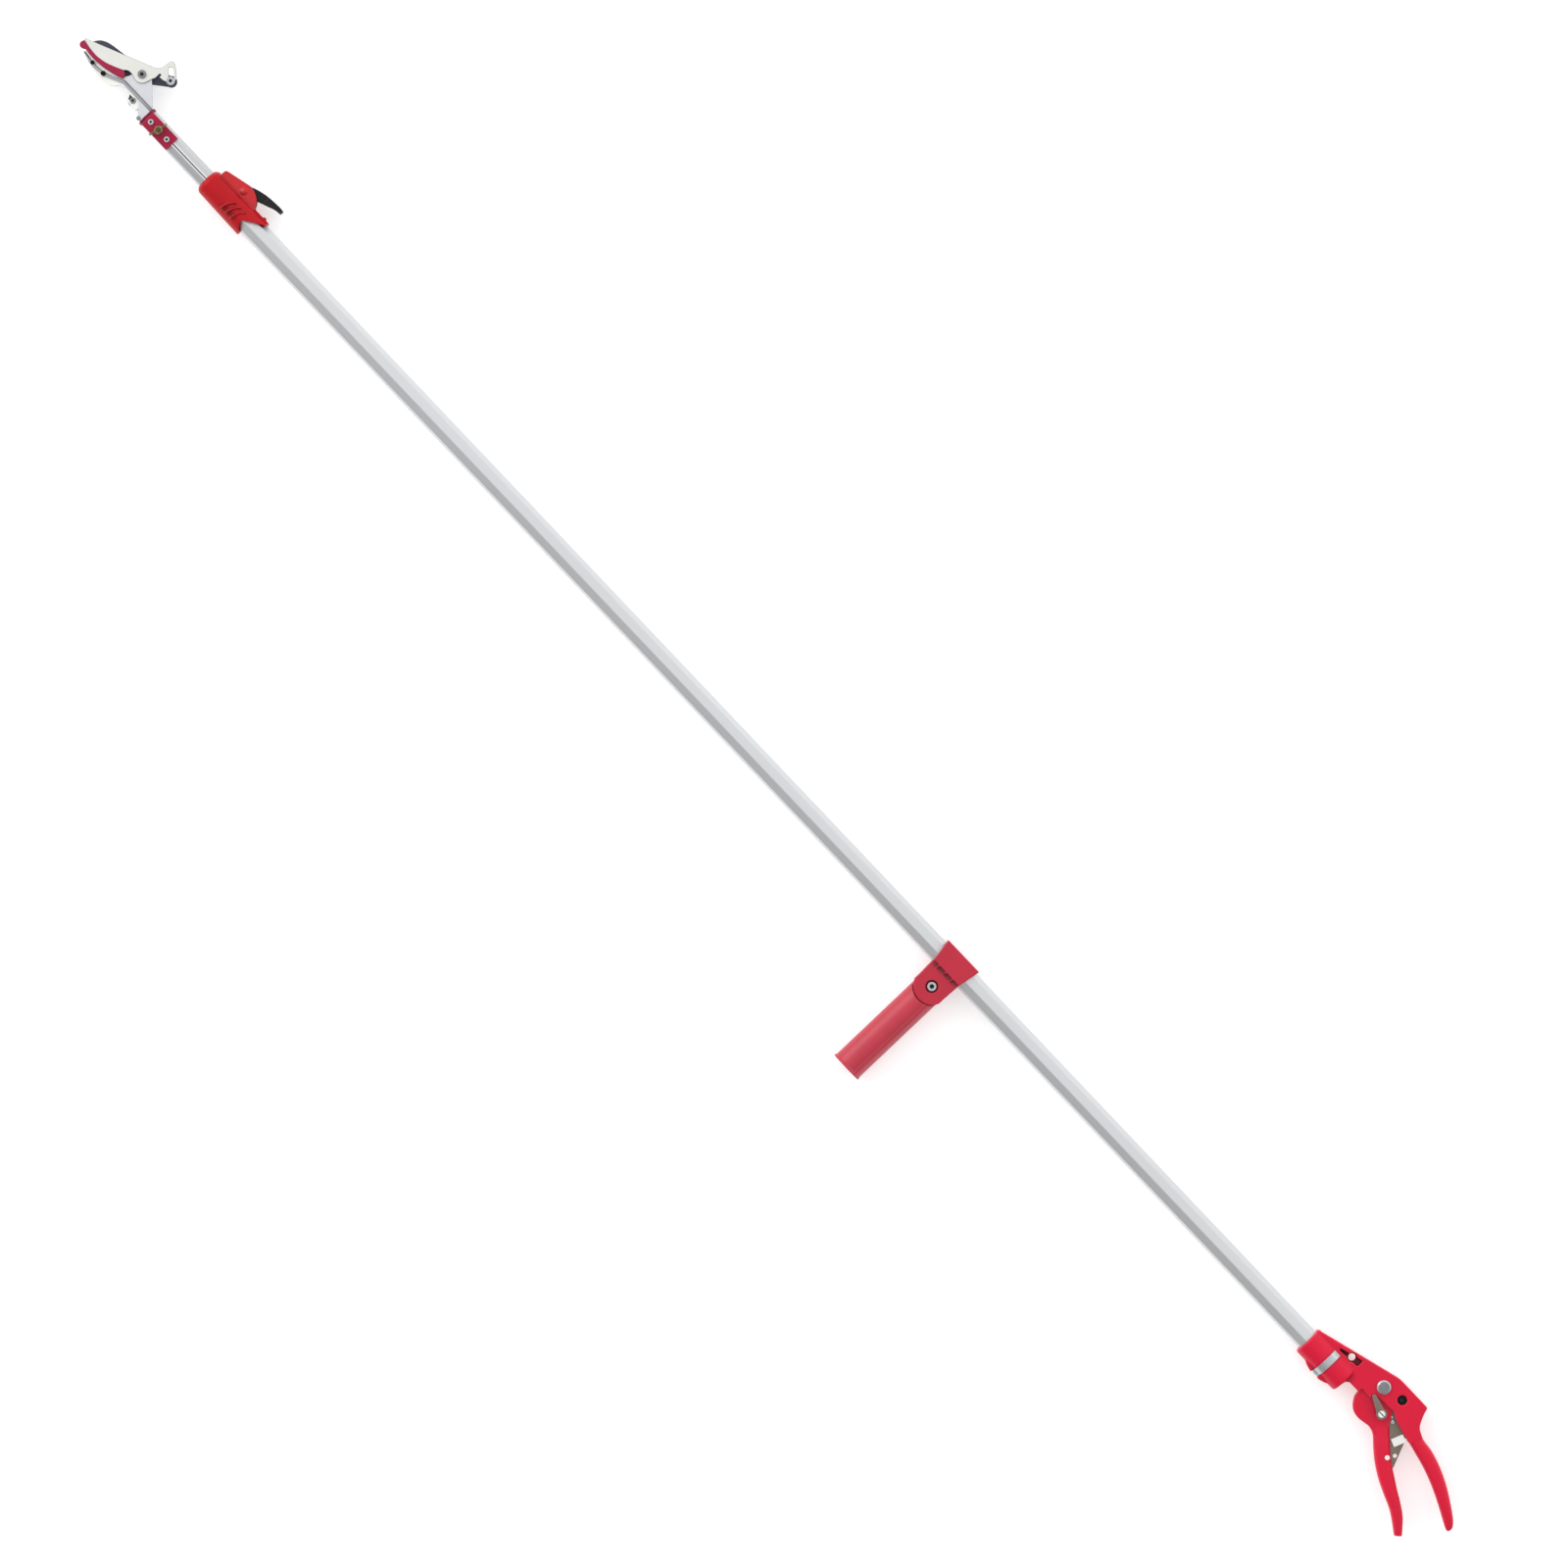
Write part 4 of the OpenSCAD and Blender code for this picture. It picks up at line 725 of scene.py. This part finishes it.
def note_occlusion_shade(mesh):
    """Notes how far the piece's own surface closes each point in, where the finishes paint shade."""
    tree = BVHTree.FromPolygons([v.co for v in mesh.vertices], [face.vertices for face in mesh.polygons])
    ways = []
    for i in range(HOLLOW_WAYS):
        height = 1 - (2 * i + 1) / HOLLOW_WAYS
        angle = i * math.pi * (3 - math.sqrt(5))
        flat = math.sqrt(1 - height * height)
        ways.append(Vector((flat * math.cos(angle), flat * math.sin(angle), height)))
    closed = np.zeros(len(mesh.vertices))
    for v in mesh.vertices:
        start = v.co + v.normal * HOLLOW_START
        open_ways = [way for way in ways if way.dot(v.normal) > HOLLOW_SLOPE]
        hits = sum(tree.ray_cast(start, way, HOLLOW_REACH)[0] is not None for way in open_ways)
        closed[v.index] = hits / len(open_ways)
    ends = np.zeros(2 * len(mesh.edges), dtype=int)
    mesh.edges.foreach_get("vertices", ends)
    first, second = ends[::2], ends[1::2]
    for _ in range(HOLLOW_ROUNDS):
        total, parts = closed.copy(), np.ones(len(closed))
        for here, there in ((first, second), (second, first)):
            np.add.at(total, here, closed[there])
            np.add.at(parts, here, 1)
        closed = total / parts
    mesh.attributes.new(SHADE_ATTRIBUTE, "FLOAT", "POINT").data.foreach_set("value", closed)


def welded(node):
    """Editable copy of a node's mesh, with one point per corner and whole flat faces."""
    shape = bmesh.new()
    shape.from_mesh(NODES[node].data)
    bmesh.ops.remove_doubles(shape, verts=shape.verts, dist=WELD)
    bmesh.ops.dissolve_limit(shape, angle_limit=FLAT, verts=shape.verts, edges=shape.edges)
    return shape


def break_edges(shape, width):
    """Small two-step bevel on the sharp edges."""
    sharp = [e for e in shape.edges if len(e.link_faces) == 2 and e.calc_face_angle(0) > SHARP]
    bmesh.ops.bevel(
        shape, geom=sharp, offset=width, offset_type="OFFSET", segments=2, profile=0.5,
        affect="EDGES", clamp_overlap=True
    )


def islands(shape):
    """Groups of faces that hang together."""
    left = set(shape.faces)
    while left:
        group = set()
        edge = [left.pop()]
        while edge:
            face = edge.pop()
            group.add(face)
            near = {other for e in face.edges for other in e.link_faces} & left
            left -= near
            edge.extend(near)
        yield group


def refinish(faces, test):
    """Gives the faces that pass a test the piece's second finish."""
    for face in faces:
        if test(face):
            face.material_index = 1


def mark_recesses(shape):
    """Gives the sockets and slots in the ends of upright screws the second finish, a near-black painted
    shade.
    """
    for group in islands(shape):
        points = [v.co for face in group for v in face.verts]
        low, high = (Vector([end(p[i] for p in points) for i in range(3)]) for end in (min, max))
        middle = (low + high) / 2
        reach = (high.x - low.x) / 2
        for face in group:
            spot = face.calc_center_median()
            inward = (middle - spot).xy
            wall = abs(face.normal.z) < WALL_FACE and face.normal.xy.dot(inward) > WALL_FACE * inward.length
            deep = spot.z < high.z - SOCKET_DEPTH and inward.length < SOCKET_SHARE * reach
            if wall or deep and face.normal.z > FLOOR_FACE:
                face.material_index = 1


def mark_rims(shape):
    """Gives the cut walls and broken edges of an upright plate the second finish."""
    refinish(shape.faces, lambda face: abs(face.normal.z) < LEVEL_FACE and face.material_index == 0)


def mark_chamfers(shape):
    """Gives the sloped rim of a bolt's head the second finish."""
    refinish(shape.faces, lambda face: CHAMFER_FACE < abs(face.normal.z) < LEVEL_FACE)


def finished_mesh(shape, name):
    """Mesh of an edited shape, smooth but with flat faces kept flat."""
    mesh = bpy.data.meshes.new(name)
    shape.to_mesh(mesh)
    shape.free()
    normals = mesh.attributes.get("custom_normal")
    if normals is not None:
        mesh.attributes.remove(normals)
    mesh.shade_smooth()
    mesh.set_sharp_from_angle(angle=CREASE)
    return mesh


def edged(node, width, finish=None, second=None, mark=None, reshape=None):
    """Stand-in for a plate or fastener with its edges broken; mark picks the faces with the second finish."""
    shape = welded(node)
    more = [second] if second else []
    if reshape:
        reshape(shape)
    break_edges(shape, width)
    if mark:
        mark(shape)
    piece = new_piece(node + "_edged", finished_mesh(shape, node + "_edged"))
    piece.modifiers.new("flat_faces", "WEIGHTED_NORMAL").keep_sharp = True
    return stand_in(piece, node, finish, *more)


def skinned(name, rings):
    """Closed piece over rings of points, capped at both ends."""
    shape = bmesh.new()
    loops = [[shape.verts.new(point) for point in ring] for ring in rings]
    for first, second in zip(loops, loops[1:]):
        for k in range(len(first)):
            shape.faces.new((first[k], first[k - 1], second[k - 1], second[k]))
    shape.faces.new(loops[0])
    shape.faces.new(reversed(loops[-1]))
    bmesh.ops.recalc_face_normals(shape, faces=shape.faces)
    return new_piece(name, finished_mesh(shape, name))


def round_turn(sides):
    """Angles of the points of a ring."""
    return [2 * math.pi * k / sides for k in range(sides)]


def swept_wire(name, points, radius, sides=12):
    """Closed round wire along a line of points."""
    rings = []
    for i, here in enumerate(points):
        ahead = (points[min(i + 1, len(points) - 1)] - points[max(i - 1, 0)]).normalized()
        out = ahead.cross(Vector((0, 0, 1))).normalized()
        up = out.cross(ahead)
        rings.append([here + radius * (math.cos(t) * out + math.sin(t) * up) for t in round_turn(sides)])
    return skinned(name, rings)


def turned(name, seat, outline, sides=36):
    """Closed turned piece on a seat; its outline runs from the top down as radius and height."""
    return skinned(name, [
        [seat + Vector((radius * math.cos(t), radius * math.sin(t), height)) for t in round_turn(sides)]
        for radius, height in outline
    ])


def coil_line(centre, radius, low, high, turns, leg, per_turn=32):
    """Line of an open coil with a straight leg at each end."""
    steps = round(turns * per_turn)
    line = []
    for i in range(steps + 1):
        angle = 2 * math.pi * turns * i / steps
        height = low + (high - low) * i / steps
        line.append(Vector((
            centre[0] + radius * math.cos(angle), centre[1] + radius * math.sin(angle), height
        )))
    last = 2 * math.pi * turns
    start = Vector((0, -leg, 0))
    end = Vector((-math.sin(last), math.cos(last), 0)) * leg
    return [line[0] + start, *line, line[-1] + end]


class Step:
    """What every step shares: it works with one group of settings."""

    group = "pruner_sizes"

    def execute(self, context):
        self.work(getattr(context.scene, self.group))
        return {"FINISHED"}


class PRUNER_OT_finishes(Step, bpy.types.Operator):
    """Make every finish of the pruner"""

    bl_idname = "pruner.finishes"
    bl_label = "Finishes"
    group = "pruner_colours"

    def work(self, colours):
        make_finishes(colours)


class PRUNER_OT_tubes(Step, bpy.types.Operator):
    """Dress both octagonal tubes and what runs inside them"""

    bl_idname = "pruner.tubes"
    bl_label = "Tubes and rods"

    def work(self, sizes):
        dressed("inner_tube", "scribed_silver")
        for node in ("outer_tube", "rod_guide", "mast_bush", "pull_tube", "pull_rod", "rod_clutch"):
            dressed(node)
        for node in ("pull_eye", "rod_end"):
            edged(node, sizes.plate_edge)


class PRUNER_OT_castings(Step, bpy.types.Operator):
    """Round the cast handle and the trigger grip"""

    bl_idname = "pruner.castings"
    bl_label = "Handle and trigger"

    def work(self, sizes):
        for node in ("handle_body", "trigger_lever"):
            piece = softened(node, sizes.cast_step, sizes.cast_passes, "_casting", None, "red_recess")
            if node == "handle_body":
                # The pocket's faces take the darker red, painted shade
                refinish(piece.data.polygons, self.in_pocket)

    def in_pocket(self, face):
        """Whether a face lies in the pocket round the hanging hole, which gets a darker red as painted shade.
        """
        return inside(HANG_POCKET, face.center, POCKET_RIM) and abs(face.center.z - AXIS_Z) < POCKET_WALL


class PRUNER_OT_trigger_works(Step, bpy.types.Operator):
    """Finish the trigger's plate, stop strip, latch and strap"""

    bl_idname = "pruner.trigger_works"
    bl_label = "Trigger plate, latch and strap"

    def work(self, sizes):
        for node in ("trigger_plate", "latch_lever"):
            edged(node, sizes.plate_edge, "link_steel", "sheared_edge", mark_rims)
        # The stop strip and the rivet take the brighter jaw steel as painted light
        edged("stop_blocks", sizes.plate_edge, "jaw_painted_light")
        edged("plate_rivet", sizes.screw_edge, "jaw_painted_light")
        edged("socket_strap", sizes.plate_edge)
        edged("latch_bush", sizes.screw_edge)
        self.plate_stud()

    def plate_stud(self):
        """Low stud with a dimple, riveted into the trigger plate beside the latch."""
        seat = Vector((*PLATE_STUD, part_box("trigger_plate")[1].z))
        stud = turned("plate_stud", seat, STUD_OUTLINE)
        stud.data.materials.append(FINISHES["zinc_steel"])
        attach(stud, NODES["trigger_plate"]["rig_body"])


class PRUNER_OT_mouldings(Step, bpy.types.Operator):
    """Round the plastic mouldings of the lock and the side handle"""

    bl_idname = "pruner.mouldings"
    bl_label = "Lock and side handle"

    def work(self, sizes):
        for node in ("lock_collar", "lock_lever", "side_collar", "side_grip"):
            finish, step = None, sizes.mould_step
            if node == "side_grip":
                finish, step = "seamed_grip", sizes.grip_step
            piece = softened(node, step, sizes.mould_passes, "_moulding", finish, "red_ear")
            if node == "lock_collar":
                refinish(piece.data.polygons, self.on_ear)
                self.open_bore(piece.data, sizes.bore_room)
                self.raise_dome(piece.data, sizes.pin_dome)
        edged("grip_cap", sizes.plate_edge)
        dressed("lock_pad")

    def on_ear(self, face):
        """Whether a face lies on the ears that hold the lock lever, which get a lighter red as painted light
        and more gloss.
        """
        return abs(face.normal.z) > EAR_FACE and face.center.y < AXIS_Y - EAR_START

    def raise_dome(self, mesh, height):
        """Crowns the boss over the lock lever's pin."""
        low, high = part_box("lock_pin")
        middle = (low + high) / 2
        near = [(v, (v.co - middle).xy.length) for v in mesh.vertices if v.co.z > high.z]
        for v, off in near:
            v.co.z += height * max(0, 1 - (off / DOME_REACH) ** 2)

    def open_bore(self, mesh, room):
        """Widens the collar's bore beyond the outer tube, where the bush of the inner tube runs in."""
        for v in mesh.vertices:
            off = Vector((0, v.co.y - AXIS_Y, v.co.z - AXIS_Z))
            if v.co.x > TUBE_END and off.length < BORE_REACH:
                v.co += off.normalized() * room


class PRUNER_OT_head_plates(Step, bpy.types.Operator):
    """Finish the saddle, the bracket and the stem holder"""

    bl_idname = "pruner.head_plates"
    bl_label = "Saddle, bracket and holder"

    def work(self, sizes):
        step = sizes.small_step
        saddle = softened("head_saddle", step, SMALL_PASSES["head_saddle"], "_pressing", None, "red_lip")
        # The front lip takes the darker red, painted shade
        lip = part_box("head_saddle")[1].x - sizes.saddle_lip
        refinish(saddle.data.polygons, lambda face: face.center.x > lip)
        edged("holder_plate", sizes.jaw_edge, None, "sheared_edge", mark_rims)
        bracket = edged(
            "head_bracket", sizes.plate_edge, None, "sheared_edge", mark_rims,
            lambda shape: self.sloped_rail(shape, sizes.rail_fall, sizes.rail_lean)
        )
        for name in ("fold_painted_shadow", "rail_painted_shade"):
            bracket.data.materials.append(FINISHES[name])
        pad = softened("holder_pad", step, SMALL_PASSES["holder_pad"], "_moulding", None, "pad_flank")
        # Faces that turn away from above take the darker red, painted shade
        refinish(pad.data.polygons, lambda face: abs(face.normal.z) < FLANK_FACE)

    def sloped_rail(self, shape, fall, lean):
        """Lowers the rail's top towards its far edge and leans its near wall; the wall gets painted shadow,
        the top painted shade.
        """
        # Finish indices: sheared edge, the wall's painted shadow, the top's painted shade
        edge, fold_shadow, rail = 1, 2, 3
        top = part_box("head_bracket")[1].z
        plate = top - RAIL_RISE
        crest = {v: v.co.y - along_line(RAIL_EDGE, v.co.x) for v in shape.verts if abs(v.co.z - top) < LEVEL}
        for v, off in crest.items():
            v.co.z -= fall * min(1, max(0, off / RAIL_WIDTH))
            v.co.y += lean * max(0, 1 - max(0, off) / lean)
        for face in shape.faces:
            ends = [crest[v] for v in face.verts if v in crest]
            heights = [v.co.z for v in face.verts]
            knob = plate < min(heights) + LEVEL and max(heights) > plate + LEVEL
            if len(ends) == len(face.verts):
                face.material_index = rail
            elif knob:
                face.material_index = edge
            elif len(ends) == 2 and max(ends) < RAIL_FOLD and face.normal.y < -WALL_FACE:
                face.material_index = fold_shadow


class PRUNER_OT_blades(Step, bpy.types.Operator):
    """Grind the cutting blade and the counter blade"""

    bl_idname = "pruner.blades"
    bl_label = "Blades"

    def work(self, sizes):
        self.cutting_blade(sizes.blade_grind)
        edged("counter_blade", sizes.jaw_edge, "jaw_painted_light", "sheared_edge", mark_rims)

    def cutting_blade(self, grind):
        """Blade with its edge ground to a bevel that runs out at the tip and the root."""
        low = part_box("cutting_blade")[0]
        pivot = Vector(JOINTS["blade_turn"]["pos_m"])
        root = pivot.x + GRIND_START
        tip = max(NODES["cutting_blade"].data.vertices, key=lambda v: v.co.x).co
        slope = (tip.y - pivot.y) / (tip.x - pivot.x)
        shape = welded("cutting_blade")
        edge = {
            v for v in shape.verts
            if v.co.x > root and v.co.y > pivot.y + slope * (v.co.x - pivot.x) - LEVEL
        }
        refinish(shape.faces, lambda face: edge.issuperset(face.verts))
        for v in edge:
            if abs(v.co.z - low.z) < LEVEL:
                v.co.y -= min(grind, GRIND_TIP * (tip.x - v.co.x), GRIND_ROOT * (v.co.x - root))
        piece = new_piece("cutting_blade_ground", finished_mesh(shape, "cutting_blade_ground"))
        stand_in(piece, "cutting_blade", None, "bright_steel")


class PRUNER_OT_screws(Step, bpy.types.Operator):
    """Break the edges of the screws, pins, studs and nuts"""

    bl_idname = "pruner.screws"
    bl_label = "Screws, pins and nuts"

    def work(self, sizes):
        done = {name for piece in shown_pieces() for name in piece.get("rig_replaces", [])}
        for row in frame["record"]["subparts"]:
            node = row["node"]
            if row["material_slot"] not in ("zinc_steel", "black_steel") or node in done:
                continue
            # The pivot bolt's flat top takes the darker zinc as painted shade; its chamfer keeps plain zinc
            if node == "pivot_bolt":
                edged(node, sizes.screw_edge, "bolt_painted_shade", "zinc_steel", mark_chamfers)
            else:
                edged(node, sizes.screw_edge, SCREW_FINISH.get(node), "socket_painted_shade", mark_recesses)
        softened("wing_nut", sizes.small_step, SMALL_PASSES["wing_nut"], "_casting")


class PRUNER_OT_springs(Step, bpy.types.Operator):
    """Wind the trigger's return spring and the stem holder's spring"""

    bl_idname = "pruner.springs"
    bl_label = "Springs"

    def work(self, sizes):
        self.wind("return_spring", "trigger_squeeze", sizes.wire, sizes.return_coil, turns=1.5, leg=0.0006)
        self.wind("holder_spring", "blade_turn", sizes.wire, sizes.holder_coil, turns=2, leg=0.009)

    def wind(self, node, joint, wire, radius, turns, leg):
        """Open coil of round wire round a joint's axis, as high as its node."""
        low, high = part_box(node)
        line = coil_line(JOINTS[joint]["pos_m"], radius, low.z + wire, high.z - wire, turns, leg)
        stand_in(swept_wire(node + "_wound", line, wire), node)


class PRUNER_OT_stage(Step, bpy.types.Operator):
    """Set up the pale floor, the soft lights and the camera"""

    bl_idname = "pruner.stage"
    bl_label = "Studio"
    group = "pruner_stage"

    def work(self, stage):
        turn = math.pi + stage.pole_angle
        up = Vector((-math.sin(turn), math.cos(turn), 0))
        self.camera(stage, turn)
        self.floor(stage)
        for name, place, along, size, watts in LAMPS:
            self.soft_box(name, Vector(place), Vector(along), size, getattr(stage, watts))
        self.sky(stage, up)
        bpy.context.scene.view_settings.view_transform = "Standard"

    def camera(self, stage, turn):
        """Camera straight above the pole, turned so that the pole runs across the picture."""
        data = bpy.data.cameras.new("photo_camera")
        data.lens = stage.lens
        data.clip_end = 100
        camera = new_piece("photo_camera", data)
        away = stage.across * stage.lens / data.sensor_width
        camera.location = (*stage.aim, AXIS_Z + away)
        camera.rotation_euler = (0, 0, turn)
        bpy.context.scene.camera = camera

    def floor(self, stage):
        """Wide pale floor just below the pruner."""
        shape = bmesh.new()
        bmesh.ops.create_grid(shape, x_segments=8, y_segments=8, size=FLOOR_REACH)
        mesh = bpy.data.meshes.new("studio_floor")
        shape.to_mesh(mesh)
        shape.free()
        floor = new_piece("studio_floor", mesh)
        floor.location.z = CAD_BOX[0].z - FLOOR_DROP
        floor.data.materials.append(pale_floor("Pale floor", stage.floor))
        floor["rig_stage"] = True

    def soft_box(self, name, place, along, size, power):
        """Rectangular soft box that faces the pole, with its long side along a direction."""
        data = bpy.data.lights.new(name, "AREA")
        data.shape = "RECTANGLE"
        data.size, data.size_y = size
        data.energy = power
        lamp = new_piece(name, data)
        lamp.location = place
        away = place.normalized()
        steep = away.cross(along).normalized()
        lamp.rotation_euler = Matrix((steep.cross(away), steep, away)).transposed().to_euler()
        lamp.visible_camera = False

    def sky(self, stage, up):
        """Even sky that fades from the key's side to the far side, with a plain backdrop for the camera."""
        world = bpy.data.worlds.new("studio_sky")
        world.use_nodes = True
        tree = world.node_tree
        way = put(tree, "TexCoord").outputs["Generated"]
        lean = put(tree, "VectorMath", {0: way, 1: up}, operation="DOT_PRODUCT").outputs["Value"]
        near = spread(tree, lean, 0, 1, stage.sky_top, stage.sky_bright)
        lost = spread(tree, lean, 0, -1, 0, stage.sky_top - stage.sky_dark)
        glow = calc(tree, "SUBTRACT", near, lost)
        seen = put(tree, "LightPath").outputs["Is Camera Ray"]
        strength = put(tree, "Mix", {0: seen, 2: glow, 3: stage.backdrop}).outputs[0]
        back = tree.nodes["Background"]
        back.inputs["Color"].default_value = (1, 1, 1, 1)
        tree.links.new(strength, back.inputs["Strength"])
        bpy.context.scene.world = world


STEPS = (
    PRUNER_OT_finishes, PRUNER_OT_tubes, PRUNER_OT_castings, PRUNER_OT_trigger_works, PRUNER_OT_mouldings,
    PRUNER_OT_head_plates, PRUNER_OT_blades, PRUNER_OT_springs, PRUNER_OT_screws, PRUNER_OT_stage,
)


class PRUNER_PT_panel(bpy.types.Panel):
    """Steps, colours and sizes of the pruner"""

    bl_label = "Tree Pruner"
    bl_idname = "PRUNER_PT_panel"
    bl_space_type = "VIEW_3D"
    bl_region_type = "UI"
    bl_category = "Pruner"

    def draw(self, context):
        layout = self.layout
        for step in STEPS:
            layout.operator(step.bl_idname)
        for key, cls in GROUPS.items():
            box = layout.box()
            for name in cls.__annotations__:
                box.prop(getattr(context.scene, key), name)


GROUPS = {"pruner_colours": PrunerColours, "pruner_sizes": PrunerSizes, "pruner_stage": PrunerStage}


def register():
    for cls in (*GROUPS.values(), *STEPS, PRUNER_PT_panel):
        bpy.utils.register_class(cls)
    for name, cls in GROUPS.items():
        setattr(bpy.types.Scene, name, PointerProperty(type=cls))


def unregister():
    for name in GROUPS:
        delattr(bpy.types.Scene, name)
    for cls in (PRUNER_PT_panel, *reversed(STEPS), *GROUPS.values()):
        bpy.utils.unregister_class(cls)


def main():
    """Builds the pruner's looks and its studio, and works out both boxes."""
    register()
    for step in STEPS:
        area, name = step.bl_idname.split(".")
        getattr(getattr(bpy.ops, area), name)()
    boxes = {"cad": CAD_BOX, "visual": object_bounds()}
    plain = {key: [list(corner) for corner in box] for key, box in boxes.items()}


if __name__ == "__main__":
    main()
